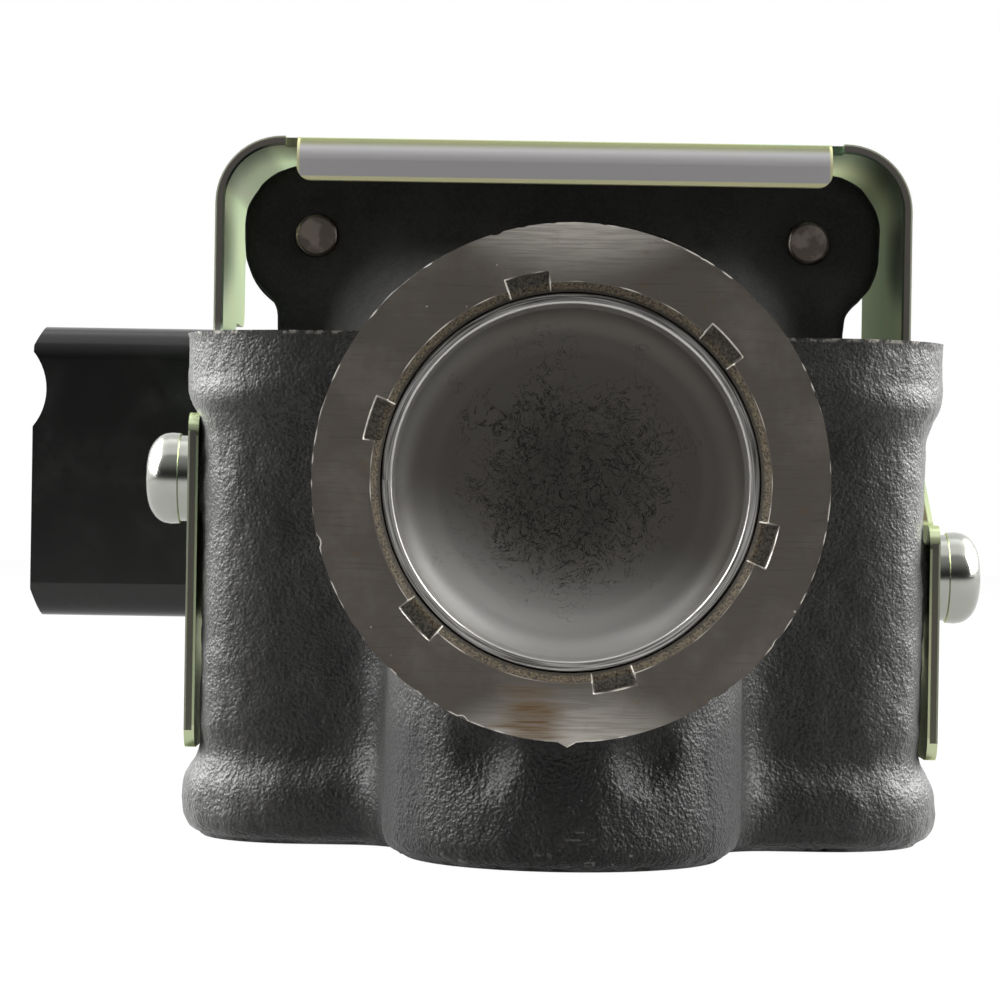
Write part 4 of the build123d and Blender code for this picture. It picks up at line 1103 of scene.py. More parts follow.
class Stores:
    """Hands out each finish's material, made once."""

    def __init__(self) -> None:
        """Starts empty."""
        self.made: dict[Stock, bpy.types.Material] = {}

    def get(self, stock: Stock) -> bpy.types.Material:
        """Material of one finish."""
        if stock not in self.made:
            self.made[stock] = stock.value.build()
        return self.made[stock]


# ------------------------------------------------------------------ casting
@dataclass(frozen=True)
class Bore:
    """A round hole: its axis direction, a point on the axis, its radius, and its reach along the axis."""

    axis: int
    centre: Point
    radius: float
    low: float
    high: float

    def distance(self, place: np.ndarray) -> np.ndarray:
        """Distance of places from the axis.

        Args:
            place: Places, n by 3.

        Returns:
            One distance per place, infinity beyond the hole's ends.
        """
        others = [i for i in range(3) if i != self.axis]
        flat = place[:, others] - np.array(self.centre)[others]
        inside = (place[:, self.axis] > self.low) & (place[:, self.axis] < self.high)
        return np.where(inside, np.hypot(*flat.T), np.inf)

    def onto_wall(self, place: np.ndarray) -> np.ndarray:
        """Moves places straight in or out onto the hole's wall.

        Args:
            place: Places, n by 3.

        Returns:
            The moved places.
        """
        others = [i for i in range(3) if i != self.axis]
        centre = np.array(self.centre)[others]
        flat = place[:, others] - centre
        moved = place.copy()
        moved[:, others] = centre + flat * (self.radius / np.linalg.norm(flat, axis=1))[:, None]
        return moved


@dataclass
class Casting:
    """Cast body: a skin with the blends and waves of a sand casting, and its bores and machined faces."""

    nodes: dict[str, bpy.types.Object]
    stores: Stores
    voxel: float = 0.62 * MM
    overrun: float = 3.0 * MM
    passes: int = 64
    edge_passes: int = 9
    swells: tuple[tuple[float, int, float], ...] = (
        (14.0 * MM, 5, 0.10),
        (4.5 * MM, 6, 0.06),
        (1.7 * MM, 7, 0.05),
    )
    sink: float = 0.12
    rim_spare: float = 1.2 * MM
    ring_face: float = -39.9 * MM
    ring_back: float = -37.0 * MM
    works_front: float = -37.35 * MM
    top: float = 53.5 * MM
    top_inner_x: float = 16.35 * MM
    top_half_y: float = 13.8 * MM
    flange_rear: float = 37.0 * MM
    foot: float = 0.0
    foot_cut: float = 0.3 * MM
    ring_r: float = 25.0 * MM
    works_r: float = 19.6 * MM
    column_r: float = 13.0 * MM
    column_power: float = 3.0
    waist: Pair = (7.0 * MM, 49.0 * MM)
    fade: float = 5.0 * MM
    nib: Pair = (0.5 * MM, 0.9 * MM)
    bores: list[Bore] = field(
        default_factory=lambda: [
            Bore(2, (0.0, -18.0 * MM, 0.0), 12.0 * MM, -FAR, 26.0 * MM),
            Bore(2, (0.0, 10.5 * MM, 0.0), 11.0 * MM, -FAR, 26.0 * MM),
            Bore(2, (-COLUMN_X, 0.0, 0.0), 4.5 * MM, -FAR, FAR),
            Bore(2, (COLUMN_X, 0.0, 0.0), 4.5 * MM, -FAR, FAR),
            Bore(0, (0.0, 0.0, SIDE_SEATS[0][1]), TAPPED_R, -FAR, -33.0 * MM),
            Bore(0, (0.0, 0.0, SIDE_SEATS[1][1]), TAPPED_R, 33.0 * MM, FAR),
            *(Bore(1, (i * EAR, 0.0, AXIS_Z + k * EAR), TAPPED_R, 25.0 * MM, FAR) for i, k in CORNERS),
        ]
    )

    def build(self) -> None:
        """Makes the skin and the machined core."""
        node = self.nodes["valve_body"]
        core = self.core(node)
        skin = self.skin(node, core)
        black, bare = self.stores.get(Stock.CAST_BLACK), self.stores.get(Stock.MACHINED_IRON)
        Piece("cast_skin", "casing", "cast_iron", ("valve_body",), 180.0).declare(skin, black)
        Piece("cast_core", "casing", "cast_iron", ("valve_body",), 30.0).declare(core, bare)

    def in_works(self, place: np.ndarray) -> np.ndarray:
        """True for places within the machined bores along the stem."""
        return np.hypot(place[:, 0], place[:, 2] - AXIS_Z) < self.works_r

    def near_bores(self, place: np.ndarray, spare: float) -> np.ndarray:
        """Finds places in the works or near a hole.

        Args:
            place: Places, n by 3.
            spare: How far outside a hole's wall still counts.

        Returns:
            True for each place that is near.
        """
        near = self.in_works(place)
        for bore in self.bores:
            near |= bore.distance(place) < bore.radius + spare
        return near

    def skin(self, node: bpy.types.Object, core: bpy.types.Mesh) -> bpy.types.Mesh:
        """Outer skin: the solid run past its machined planes, remeshed, smoothed, made wavy and cut back.

        Args:
            node: CAD node of the body.
            core: Machined surfaces, whose outlines the cut edges join.

        Returns:
            The open mesh of every as-cast surface.
        """
        rough = merged_mesh(node, "cast_rough")
        place = read(rough.vertices, "co", 3)
        tops = np.abs(place[:, 2] - self.top) < ON_PLANE
        tops &= np.abs(place[:, 0]) > self.top_inner_x + 0.3 * MM
        place[tops, 2] += self.overrun
        place[place[:, 1] > self.flange_rear - ON_PLANE, 1] += self.overrun
        place[place[:, 1] < self.ring_face - 0.05 * MM, 1] -= self.overrun
        put_places(rough, place)
        carrier = linked("cast_rough", rough)
        remesh = carrier.modifiers.new("voxels", "REMESH")
        remesh.mode = "VOXEL"
        remesh.voxel_size = self.voxel
        evaluated = carrier.evaluated_get(bpy.context.evaluated_depsgraph_get())
        mesh = bpy.data.meshes.new_from_object(evaluated)
        bpy.data.objects.remove(carrier)
        self.soften(mesh)
        self.cut_back(mesh)
        self.join_rims(mesh, core)
        mesh.name = "cast_skin"
        return mesh

    def soften(self, mesh: bpy.types.Mesh) -> None:
        """Rounds edges and fills inner corners by moving each vertex towards the mean of its neighbours.

        Near bores the share is none. In the corners between the bulges, columns and barrel it goes on for
        longer, which gives a wider fillet. Waves of three sizes are then added along the normals.

        Args:
            mesh: Remeshed solid.
        """
        place = read(mesh.vertices, "co", 3)
        first, second = read(mesh.edges, "vertices", 2, int).T
        count = len(place)
        degree = np.bincount(first, minlength=count) + np.bincount(second, minlength=count)
        keep = self.near_bores(place, self.rim_spare)
        share = np.where(keep, 0.0, 0.5)
        wide = share * self.corner_zone(place)
        for step in range(self.passes):
            weight = share if step < self.edge_passes else wide
            total = np.empty_like(place)
            for axis in range(3):
                value = place[:, axis]
                total[:, axis] = np.bincount(first, value[second], count)
                total[:, axis] += np.bincount(second, value[first], count)
            place += (total / degree[:, None] - place) * weight[:, None]
        put_places(mesh, place)
        normal = read(mesh.vertex_normals, "vector", 3)
        self.square_up(place)
        wavy = sum(waves(place, size, seed) * height for size, seed, height in self.swells)
        place += normal * ((wavy - self.sink) * MM * (~keep))[:, None]
        put_places(mesh, place)

    def square_up(self, place: np.ndarray) -> None:
        """Makes the outer front quarter of each column's waist squarer: a circle towards a superellipse.

        A place at angle a about the column's axis goes out by (|cos a|^n + |sin a|^n)^(-1/n), up to a fifth.

        Args:
            place: Places, n by 3, changed where they are.
        """
        x, y, z = place.T
        out = np.abs(x) - COLUMN_X
        reach = np.hypot(out, y)
        zone = (out > 0.0) & (y < 0.0) & (reach < self.column_r + MM)
        waist = unit((z - self.waist[0]) / self.fade) * unit((self.waist[1] - z) / self.fade)
        safe = np.maximum(reach, MM)
        power = self.column_power
        grow = (np.abs(out / safe) ** power + np.abs(y / safe) ** power + 1e-9) ** (-1.0 / power)
        grow = 1.0 + (np.minimum(grow, 1.2) - 1.0) * waist * zone * (reach > 6.0 * MM)
        place[:, 0] = np.where(zone, np.sign(x) * (COLUMN_X + out * grow), x)
        place[:, 1] = np.where(zone, y * grow, y)

    def corner_zone(self, place: np.ndarray) -> np.ndarray:
        """Share from 0 to 1 of wide smoothing: high in the corners beside the bulges and under the barrel.

        Args:
            place: Places, n by 3.

        Returns:
            One share per place.
        """
        x, y, z = place.T
        beside = bell(np.abs(x), 18.5 * MM, 3.5 * MM) * (z < 34.0 * MM) * (np.abs(y) > 9.0 * MM)
        beside = beside * unit((z - 2.5 * MM) / self.fade)
        under = bell(np.hypot(x, z - AXIS_Z), 23.5 * MM, 2.2 * MM) * (y > -33.5 * MM) * (y < 27.0 * MM)
        under = under * (z < self.top - 4.0 * MM)
        return unit(np.maximum(beside, under))

    def cut_back(self, mesh: bpy.types.Mesh) -> None:
        """Cuts the skin at the machined planes and drops what lies inside.

        The overrun is flattened onto its plane, then every face that lies wholly in a plane goes.

        Args:
            mesh: Softened solid.
        """
        place = read(mesh.vertices, "co", 3)
        x, y, z = place.T
        over = (z > self.top) & (np.abs(x) > self.top_inner_x) & (np.abs(y) < self.top_half_y)
        place[over, 2] = self.top
        behind = y > self.flange_rear
        place[behind, 1] = self.flange_rear
        front = y < self.ring_face
        place[front, 1] = self.ring_face
        below = z < self.foot_cut
        place[below, 2] = self.foot
        put_places(mesh, place)
        corners = read(mesh.loops, "vertex_index", kind=int)
        starts = read(mesh.polygons, "loop_start", kind=int)
        centre = read(mesh.polygons, "center", 3)
        from_stem = np.hypot(centre[:, 0], centre[:, 2] - AXIS_Z)
        drop = self.near_bores(centre, 0.35 * MM)
        drop |= (from_stem < self.ring_r - 0.9 * MM) & (centre[:, 1] < self.ring_back)
        for flat in (over, behind, front, below):
            drop |= np.minimum.reduceat(flat[corners], starts)
        drop_faces(mesh, drop)

    def join_rims(self, mesh: bpy.types.Mesh, core: bpy.types.Mesh) -> None:
        """Moves the skin's open edges onto the outlines of the machined faces and the walls of the holes.

        Args:
            mesh: Cut skin.
            core: Machined surfaces.
        """
        place = read(mesh.vertices, "co", 3)
        rim = np.zeros(len(place), dtype=bool)
        rim[open_edges(mesh).ravel()] = True
        ends = read(core.vertices, "co", 3)[open_edges(core)]
        for axis, level in ((2, self.top), (1, self.flange_rear), (2, self.foot)):
            chosen = rim & (np.abs(place[:, axis] - level) < ON_PLANE)
            outline = ends[(np.abs(ends[:, :, axis] - level) < ON_PLANE).all(axis=1)]
            if chosen.any() and len(outline):
                place[chosen] = onto_segments(place[chosen], outline[:, 0], outline[:, 1])
        for bore in self.bores:
            close = rim & (bore.distance(place) < bore.radius + self.rim_spare)
            place[close] = bore.onto_wall(place[close])
        x, y, z = place.T
        angle = np.arctan2(z - AXIS_Z, x)
        face = rim & (y < self.ring_face + ON_PLANE)
        radius = self.rim_radius(angle)
        place[face, 0] = (radius * np.cos(angle))[face]
        place[face, 2] = (radius * np.sin(angle))[face] + AXIS_Z
        put_places(mesh, place)

    def rim_radius(self, angle: np.ndarray) -> np.ndarray:
        """Radius of the ring's edge: a circle, less nicks where a wave passes a limit, plus a nib below.

        Args:
            angle: Angles about the stem axis.

        Returns:
            One radius per angle.
        """
        nicks = np.clip(waves(flat_points(self.ring_r, angle), 2.2 * MM, 11) - 0.75, 0.0, None) * 0.25 * MM
        below = ((angle + math.pi / 2 + math.pi) % math.tau - math.pi) * self.ring_r
        nib_height, nib_half = self.nib
        return self.ring_r - 0.05 * MM - nicks + nib_height * unit(1.0 - np.abs(below) / nib_half)

    def core(self, node: bpy.types.Object) -> bpy.types.Mesh:
        """Bores and machined planes, kept from the solid as they are.

        Args:
            node: CAD node of the body.

        Returns:
            The mesh of every machined surface but the ring's face.
        """
        mesh = merged_mesh(node, "cast_core")
        centre = read(mesh.polygons, "center", 3)
        normal = read(mesh.polygons, "normal", 3)
        _, y, z = centre.T
        plane = (normal[:, 2] > SQUARE_ON) & (np.abs(z - self.top) < 0.05 * MM)
        plane |= (normal[:, 1] > SQUARE_ON) & (y > self.flange_rear - 0.05 * MM)
        plane |= (normal[:, 2] < -SQUARE_ON) & (np.abs(z - self.foot) < 0.05 * MM)
        wall = self.near_bores(centre, 0.03 * MM) & (y > self.works_front)
        drop_faces(mesh, ~(plane | wall))
        return mesh


@dataclass
class RingFace:
    """Machined face of the ring: a polar sheet with a chamfered mouth and the six stake marks."""

    casting: Casting
    stores: Stores
    mouth_r: float = 19.3 * MM
    relief_r: float = 18.4 * MM
    bore_r: float = 18.05 * MM
    bore_y: float = -37.4 * MM
    chamfer: float = 0.9 * MM
    mark_zone_r: float = 21.0 * MM
    edge_zone: float = 0.5 * MM
    edge_w: float = 0.24 * MM
    marks_round: int = 6
    mark_start_deg: float = 43.0
    mark_middle_r: float = 19.35 * MM
    mark_half_r: float = 1.0 * MM
    mark_half_w: float = 2.0 * MM
    mark_depth: float = 0.6 * MM
    mark_slope: float = 0.16 * MM
    burr_and_glint: float = 0.09 * MM
    burr_w: float = 0.1 * MM
    turns: int = 1440

    def build(self) -> None:
        """Lays the sheet out by radius and angle, then presses the marks into it.

        Rows are close together where the marks are and along the outer edge. "glint" is high where a painted
        highlight goes, on burrs and edges, and "press" on the floors of the marks.
        """
        face = self.casting.ring_face
        angle = full_turn(self.turns)
        rim = self.casting.rim_radius(angle)
        start = np.array([
            [self.bore_r, self.bore_y],
            [self.relief_r, self.bore_y],
            [self.relief_r, face + self.chamfer],
        ])
        slope = start[2] + (np.array([self.mouth_r, face]) - start[2]) * np.linspace(0.0, 1.0, 8)[1:, None]
        profile = np.vstack([start, slope])
        radius = np.vstack([
            all_round(profile[:, 0], self.turns),
            self.rows(self.mouth_r, self.mark_zone_r, 20),
            self.rows(self.mark_zone_r, rim - self.edge_zone, 11),
            self.rows(rim - self.edge_zone, rim, 6),
        ])
        y = all_round(profile[:, 1], self.turns)
        y = np.vstack([y, np.full((len(radius) - len(y), self.turns), face)])
        press, lift = self.marks(radius, angle)
        on_face = radius > self.relief_r + 0.05 * MM
        y = np.where(on_face, np.maximum(y, face + press * self.mark_depth) - lift * self.burr_and_glint, y)
        circle = flat_points(self.casting.ring_r, angle)
        ragged = unit(0.45 + waves(circle, 1.9 * MM, 3) * 0.7 + waves(circle, 12.0 * MM, 4) * 0.4)
        edge = unit(1.0 - (rim - radius) / self.edge_w) * ragged
        y -= edge * self.burr_and_glint * (1.0 - lift)
        mouth = bell(radius, self.mouth_r, self.burr_w) * (1.0 - press)
        mouth *= unit(0.55 + waves(circle, 5.0 * MM, 9) * 0.5)
        # The glint trace carries a painted highlight: the ring's edge, the burrs and a line round the mouth.
        traces = {
            "glint": unit(edge + lift + mouth * 0.8),
            "press": press * (radius > self.mouth_r - 0.05 * MM),
        }
        piece = Piece("ring_face", "casing", "cast_iron", ("valve_body",), 50.0)
        points = turned_points(radius, y, self.turns)
        piece.raise_mesh(points, self.stores.get(Stock.MACHINED_IRON), traces)

    def rows(self, inner: float | np.ndarray, outer: float | np.ndarray, count: int) -> np.ndarray:
        """Evenly spaced rows of radii after an inner radius up to an outer one."""
        share = np.linspace(0.0, 1.0, count + 1)[1:, None]
        return np.broadcast_to(inner + (outer - inner) * share, (count, self.turns))

    def marks(self, radius: np.ndarray, angle: np.ndarray) -> tuple[np.ndarray, np.ndarray]:
        """Depth and burr of the stake marks.

        Each mark is a rectangle with one side along the ring's radius. Its depth falls from 1 inside to 0
        over a narrow edge, and its burr is a ridge on its outer edge and its ends.

        Args:
            radius: Radii, stations by angles.
            angle: Angles.

        Returns:
            Depth share and burr share, each from 0 to 1.
        """
        step = math.tau / self.marks_round
        local = (angle - math.radians(self.mark_start_deg) + step / 2) % step - step / 2
        along = radius - self.mark_middle_r
        across = self.mark_middle_r * local + 0.0 * radius
        outside = np.maximum(along - self.mark_half_r, np.abs(across) - self.mark_half_w)
        press = unit(0.5 - outside / self.mark_slope)
        lift = bell(outside, 0.05 * MM, self.burr_w) * (radius > self.relief_r + self.burr_w)
        lift *= np.clip(0.85 + waves(flat_points(radius, angle), 2.4 * MM, 21) * 0.5, 0.3, 1.0)
        return press, lift


@dataclass
class CupPlug:
    """Pressed cup that closes the front chamber, with its sizes in millimetres."""

    stores: Stores
    rim_y: float = -38.2
    depth: float = 6.8
    outer_r: float = 18.03
    flare_r: float = 18.28
    flare_y: float = -37.5
    sheet: float = 0.8
    bend: float = 3.6
    dish_r: float = 9.0
    turns: int = 240
    arc_steps: int = 12

    def build(self) -> None:
        """Turns a closed profile with a rolled rim, wide bends and a floor that is dished by a fraction."""
        inner_r = self.outer_r - self.sheet
        floor = self.rim_y + self.depth
        outline = [
            (0.0, floor - 0.02, 0.0),
            (self.outer_r - self.bend - 0.5, floor, 0.0),
            (self.outer_r, floor, self.bend),
            (self.outer_r, self.flare_y + 0.5, 0.0),
            (self.flare_r, self.flare_y, 0.15),
            (self.flare_r, self.rim_y, 0.16),
            (inner_r, self.rim_y, 0.3),
            (inner_r - 0.12, floor - self.sheet, self.bend - self.sheet),
            (self.dish_r, floor - self.sheet + 0.14, 0.0),
            (0.0, floor - self.sheet + 0.3, 0.0),
        ]
        radius, y = rounded(outline, self.arc_steps)
        piece = Piece("cup_plug_drawn", "casing", "plug_steel", ("cup_plug",), 60.0)
        piece.raise_mesh(turned_points(radius, y, self.turns), self.stores.get(Stock.DRAWN_CUP))


# ------------------------------------------------------------------ fasteners
@dataclass
class PanScrew:
    """Pan head screw with a cross recess and a threaded end."""

    length: float
    head_r: float = 4.9 * MM
    head_h: float = 3.7 * MM
    shank_r: float = 2.5 * MM
    pitch: float = 0.8 * MM
    threaded: float = 4.0 * MM
    cross_half: float = 2.6 * MM
    cross_w: float = 0.62 * MM
    cross_depth: float = 2.1 * MM
    cross_slope: float = 0.28 * MM
    side_share: float = 0.28
    crown_power: float = 3.2
    thread_depth: float = 0.42 * MM
    tip_inset: float = 0.75 * MM
    turns: int = 96
    crown_rows: int = 40
    rows_per_pitch: int = 8

    def points(self) -> np.ndarray:
        """Screw with its bearing face at z = 0 and its crown up.

        The crown's height falls off as a superellipse of the radius. The recess is a cross of two bars,
        pressed in with sloping sides. On the thread the radius waves with (distance / pitch - angle).

        Returns:
            Points, stations by angles by 3.
        """
        angle = full_turn(self.turns)
        share = np.linspace(0.0, 1.0, self.crown_rows) ** 0.85
        arch = np.clip(1.0 - share**self.crown_power, 0.0, None) ** 0.5
        crown_r = share * self.head_r
        crown_z = self.head_h * (self.side_share + (1.0 - self.side_share) * arch)
        wide, deep = np.abs(flat_points(crown_r[:, None], angle)[..., :2]).transpose(2, 0, 1)
        bar = np.maximum(
            np.minimum(self.cross_w - wide, self.cross_half - deep),
            np.minimum(self.cross_w - deep, self.cross_half - wide),
        )
        pressed = unit(bar / self.cross_slope) * self.cross_depth
        side_r = [self.head_r - 0.06 * MM, self.head_r - 0.25 * MM, self.shank_r]
        depth = np.linspace(0.0, self.threaded, int(self.threaded / self.pitch * self.rows_per_pitch))
        wave = 0.5 + 0.5 * np.cos(math.tau * (depth[:, None] / self.pitch) - angle)
        taper = unit((self.threaded - depth) / (0.7 * MM))[:, None]
        run_in = unit(depth / MM)[:, None]
        radius = np.vstack([
            all_round(crown_r, self.turns),
            all_round(side_r, self.turns),
            self.shank_r - self.thread_depth * (1.0 - wave * taper) * run_in,
            all_round([self.shank_r - self.tip_inset, 0.0], self.turns),
        ])
        height = np.vstack([
            np.minimum(crown_z[:, None], self.head_h - pressed),
            all_round([0.12 * MM, 0.0, 0.0], self.turns),
            all_round(-(self.length - self.threaded) - depth, self.turns),
            np.full((2, self.turns), -self.length),
        ])
        return np.stack([radius * np.cos(angle), radius * np.sin(angle), height], axis=-1)


@dataclass
class ScrewSet:
    """Equal screws at several seats, joined in one piece."""

    name: str
    node: str
    screw: PanScrew
    seats: list[Seat]
    stores: Stores
    stock: Stock = Stock.CLEAR_ZINC

    def build(self) -> None:
        """Turns the screw's axis to each seat's outward direction and joins the copies."""
        points = self.screw.points()
        faces = grid_faces(*points.shape[:2])
        flat = points.reshape(-1, 3)
        places, quads = [], []
        for number, (seat, outwards, turn_deg) in enumerate(self.seats):
            axis = Vector(outwards).to_track_quat("Z", "Y").to_matrix()
            spin = Matrix.Rotation(math.radians(turn_deg), 3, "Z")
            places.append(flat @ np.array(axis @ spin).T + np.array(seat))
            quads.append(faces + number * len(flat))
        piece = Piece(self.name, "casing", "zinc_clear", (self.node,), 35.0)
        piece.raise_mesh(np.vstack(places), self.stores.get(self.stock), faces=np.vstack(quads))


def corner_seats(half: float, y: float, turn_x: float, turn_z: float) -> list[Seat]:
    """Seats at the corners of a square round the stem axis, facing the rear.

    Args:
        half: Half the square's side.
        y: Place of the seats along the stem.
        turn_x: Degrees that a screw is turned by for its side.
        turn_z: Degrees that it is turned by for its level.

    Returns:
        The four seats.
    """
    rearwards = (0.0, 1.0, 0.0)
    return [((i * half, y, AXIS_Z + k * half), rearwards, turn_x * i + turn_z * k) for i, k in CORNERS]


def all_screws(stores: Stores) -> list[ScrewSet]:
    """The three sets of screws, at the seats that their washers and the end cap give.

    Args:
        stores: Finishes.

    Returns:
        The sets.
    """
    side_x, ear_y, cap_y = 41.0 * MM, 49.7 * MM, 87.0 * MM
    cap_half = 27.6 * MM * math.sqrt(0.5)
    turned = (20.0, 65.0)
    sides = [((s * side_x, 0.0, z), (s, 0.0, 0.0), turn) for (s, z), turn in zip(SIDE_SEATS, turned)]
    small = PanScrew(
        length=9.0 * MM,
        head_r=2.75 * MM,
        head_h=2.04 * MM,
        shank_r=1.5 * MM,
        pitch=0.5 * MM,
        threaded=3.0 * MM,
        cross_half=1.45 * MM,
        cross_w=0.36 * MM,
        cross_depth=1.2 * MM,
    )
    ears = corner_seats(EAR, ear_y, 25.0, 40.0)
    caps = corner_seats(cap_half, cap_y, 15.0, 33.0)
    return [
        ScrewSet("side_screws", "shield_screws", PanScrew(7.1 * MM), sides, stores),
        ScrewSet("flange_screws", "motor_screws", PanScrew(20.4 * MM), ears, stores, Stock.THROUGH_SCREW),
        ScrewSet("end_screws", "cap_screws", small, caps, stores),
    ]


@dataclass
class ReturnSpring:
    """Round-wire spring with closed end turns, built at one length; on the valve it shortens as the valve
    opens.
    """

    stores: Stores
    mean_r: float = 12.2 * MM
    wire_r: float = 0.78 * MM
    start: float = 27.8 * MM
    end: float = 42.4 * MM
    lift: float = 6.0 * MM
    coils: float = 5.5
    closed_coils: float = 0.75
    steps: int = 620
    sides: int = 12

    def build(self) -> None:
        """Carries a circle along a helix whose pitch is small in the first and last part of a turn."""
        turned = np.linspace(0.0, self.coils, self.steps)
        angle = turned * math.tau
        eased = unit((turned - self.closed_coils) / (self.coils - 2.0 * self.closed_coils))
        closed = self.wire_r * 1.03
        run = self.end - self.start - 4.0 * closed
        y = self.start + closed + eased * run + unit(turned / self.closed_coils) * closed
        y += unit((turned - self.coils + self.closed_coils) / self.closed_coils) * closed
        level = np.zeros(self.steps)
        radial = np.stack([np.cos(angle), level, np.sin(angle)], axis=-1)
        centre = radial * self.mean_r + np.stack([level, y, level + AXIS_Z], axis=-1)
        along = np.gradient(centre, axis=0)
        along /= np.linalg.norm(along, axis=1, keepdims=True)
        third = np.cross(along, radial)
        ring = full_turn(self.sides)[:, None]
        section = radial[:, None] * np.cos(ring) + third[:, None] * np.sin(ring)
        body = centre[:, None] + section * self.wire_r
        first, last = (np.repeat(place[:, None], self.sides, axis=1) for place in (centre[:1], centre[-1:]))
        piece = Piece("spring_wire", "casing", "spring_steel", ("return_spring",), 50.0)
        spring = piece.raise_mesh(np.vstack([first, body, last]), self.stores.get(Stock.SPRING_WIRE))
        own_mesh(spring)


@dataclass
class PlainPieces:
    """CAD nodes whose shape is right: each gets its finish."""

    nodes: dict[str, bpy.types.Object]
    stores: Stores
    plan: dict[Stock, tuple[str, ...]] = field(
        default_factory=lambda: {
            Stock.GROUND_STEEL: (
                *("valve_seat", "valve_head", "valve_stem", "stem_scraper", "seal_cap"),
                *("spring_seat", "spring_retainer", "stem_clip", "wave_washer"),
            ),
            Stock.BRONZE: ("stem_bush", "shaft_bush"),
            Stock.RUBBER: ("stem_seal", "cap_o_ring"),
            Stock.GASKET: ("flange_gasket",),
            Stock.CAST_ALUMINIUM: ("motor_bracket",),
            Stock.MOTOR_PLASTIC: ("motor_housing", "end_cap"),
            Stock.BEARING_STEEL: ("front_bearing", "rear_bearing", "rotor_hub", "drive_shaft"),
            Stock.FERRITE: ("rotor_magnet",),
            Stock.STAMPED_STEEL: ("stator_front", "stator_rear"),
            Stock.COPPER: ("coil_front", "coil_rear"),
            Stock.TINNED: ("connector_pins",),
            Stock.CLEAR_ZINC: ("motor_washers", "shield_washers"),
            Stock.YELLOW_ZINC: ("heat_shield",),
        }
    )

    def build(self) -> None:
        """Puts each finish on its nodes."""
        for stock, names in self.plan.items():
            for name in names:
                materials = self.nodes[name].data.materials
                materials.clear()
                materials.append(self.stores.get(stock))
            LOG.info("%s on %s", stock.name.lower(), ", ".join(names))


# ------------------------------------------------------------------ studio
@dataclass(frozen=True)
class Lamp:
    """Rectangular area lamp aimed at the middle of the object."""

    name: str
    place: Point
    size: Pair
    watts: float

    def hang(self) -> None:
        """Puts the lamp into the scene."""
        data = bpy.data.lights.new(self.name, "AREA")
        data.shape = "RECTANGLE"
        data.size, data.size_y = self.size
        data.energy = self.watts
        lamp = linked(self.name, data)
        lamp.location = self.place
        towards = Vector((0.0, 0.0, AXIS_Z)) - Vector(self.place)
        lamp.rotation_euler = towards.to_track_quat("-Z", "Y").to_euler()


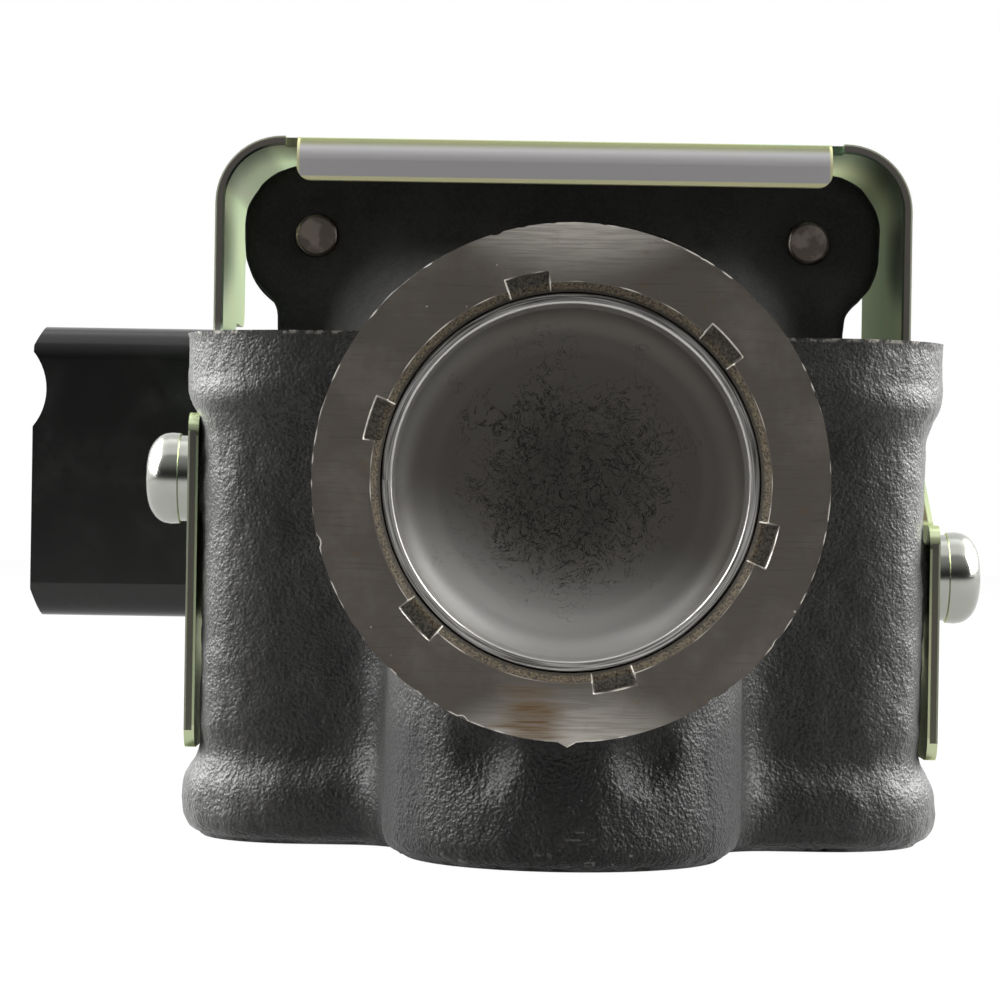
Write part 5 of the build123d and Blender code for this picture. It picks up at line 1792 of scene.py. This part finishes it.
@dataclass(frozen=True)
class Studio:
    """Camera, lamps, world and floor.

    The pairs are levels: in front at camera height and above it, of soft light from in front and behind, of
    the floor in light and to the camera, and of its glow to the camera and in mirrored light.
    """

    focal_px: float = 3493.0
    frame_px: float = 1000.0
    sensor_mm: float = 36.0
    eye: Point = (-6.8 * MM, -375.0 * MM, 36.2 * MM)
    roll_deg: float = 0.9
    ahead: Pair = (0.02, 0.37)
    soft: Pair = (0.055, 0.62)
    floor_half: float = 1.5
    floor_z: float = -0.05 * MM
    floor_tone: Pair = (0.19, 0.95)
    floor_glow: Pair = (0.97, 0.65)
    lamps: tuple[Lamp, ...] = (
        Lamp("left_box", (-0.60, 0.13, 0.40), (0.8, 0.6), 22.0),
        Lamp("right_box", (0.60, 0.13, 0.40), (0.8, 0.6), 22.0),
        Lamp("top_box", (0.0, 0.0, 0.70), (0.9, 0.7), 1.5),
    )

    def camera(self) -> None:
        """Camera looking along the stem from the front, rolled a little."""
        data = bpy.data.cameras.new("view_camera")
        data.sensor_width = self.sensor_mm
        data.sensor_fit = "HORIZONTAL"
        data.lens = self.sensor_mm * self.focal_px / self.frame_px
        data.clip_start = 10.0 * MM
        camera = linked("view_camera", data)
        camera.location = self.eye
        level = Matrix.Rotation(math.radians(90), 3, "X")
        camera.rotation_euler = (level @ Matrix.Rotation(math.radians(self.roll_deg), 3, "Z")).to_euler()
        bpy.context.scene.camera = camera

    def world(self) -> None:
        """White where the camera looks and behind the object; in front, bright above and dark level."""
        world = bpy.data.worlds.new("studio_world")
        bpy.context.scene.world = world
        graph = Graph(world)
        direction = Signal(graph, graph.add("ShaderNodeTexCoord").outputs["Generated"])
        _, y, z = graph.split(direction)
        camera, sharp = graph.rays()
        behind = y.rise(0.0, 0.35)
        front = graph.mix(z.rise(0.2, 0.8), *map(grey, self.ahead))
        glossy = graph.mix(behind, front, grey(1.0))
        soft = graph.mix(behind, *map(grey, self.soft))
        colour = graph.mix(camera, graph.mix(sharp, soft, glossy), grey(1.0))
        background = graph.add("ShaderNodeBackground", None, {"Color": colour, "Strength": 1.0})
        graph.show("ShaderNodeOutputWorld", background)

    def floor(self) -> None:
        """Large pale floor that keeps the object's shadow."""
        half = self.floor_half
        mesh = bpy.data.meshes.new("studio_floor")
        corners = [(-half, -half, 0.0), (half, -half, 0.0), (half, half, 0.0), (-half, half, 0.0)]
        mesh.from_pydata(corners, [], [(0, 1, 2, 3)])
        floor = linked("studio_floor", mesh)
        floor.location.z = self.floor_z
        material = bpy.data.materials.new("floor_white")
        graph = Graph(material)
        camera, sharp = graph.rays()
        _, y, _ = graph.split(graph.place())
        pale = graph.matte(graph.mix(camera, *map(grey, self.floor_tone)))
        glow = graph.add("ShaderNodeEmission", None, {"Color": grey(1.0), "Strength": 1.0})
        shown, mirrored = self.floor_glow
        seen = (camera * shown).most(sharp * y.rise(-0.45, -0.2) * mirrored)
        graph.show("ShaderNodeOutputMaterial", graph.blend(seen, pale, glow))
        mesh.materials.append(material)

    def build(self) -> None:
        """Sets up the camera, lamps, world and floor."""
        self.camera()
        for lamp in self.lamps:
            lamp.hang()
        self.world()
        self.floor()
        bpy.context.scene.view_settings.view_transform = "Standard"


def main() -> None:
    """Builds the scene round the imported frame."""
    logging.basicConfig(level=logging.INFO, format="%(name)s: %(message)s")
    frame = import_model()
    nodes = frame["nodes"]
    stores = Stores()
    PlainPieces(nodes, stores).build()
    casting = Casting(nodes, stores)
    casting.build()
    RingFace(casting, stores).build()
    CupPlug(stores).build()
    for screws in all_screws(stores):
        screws.build()
    ReturnSpring(stores).build()
    Studio().build()


if __name__ == "__main__":
    main()
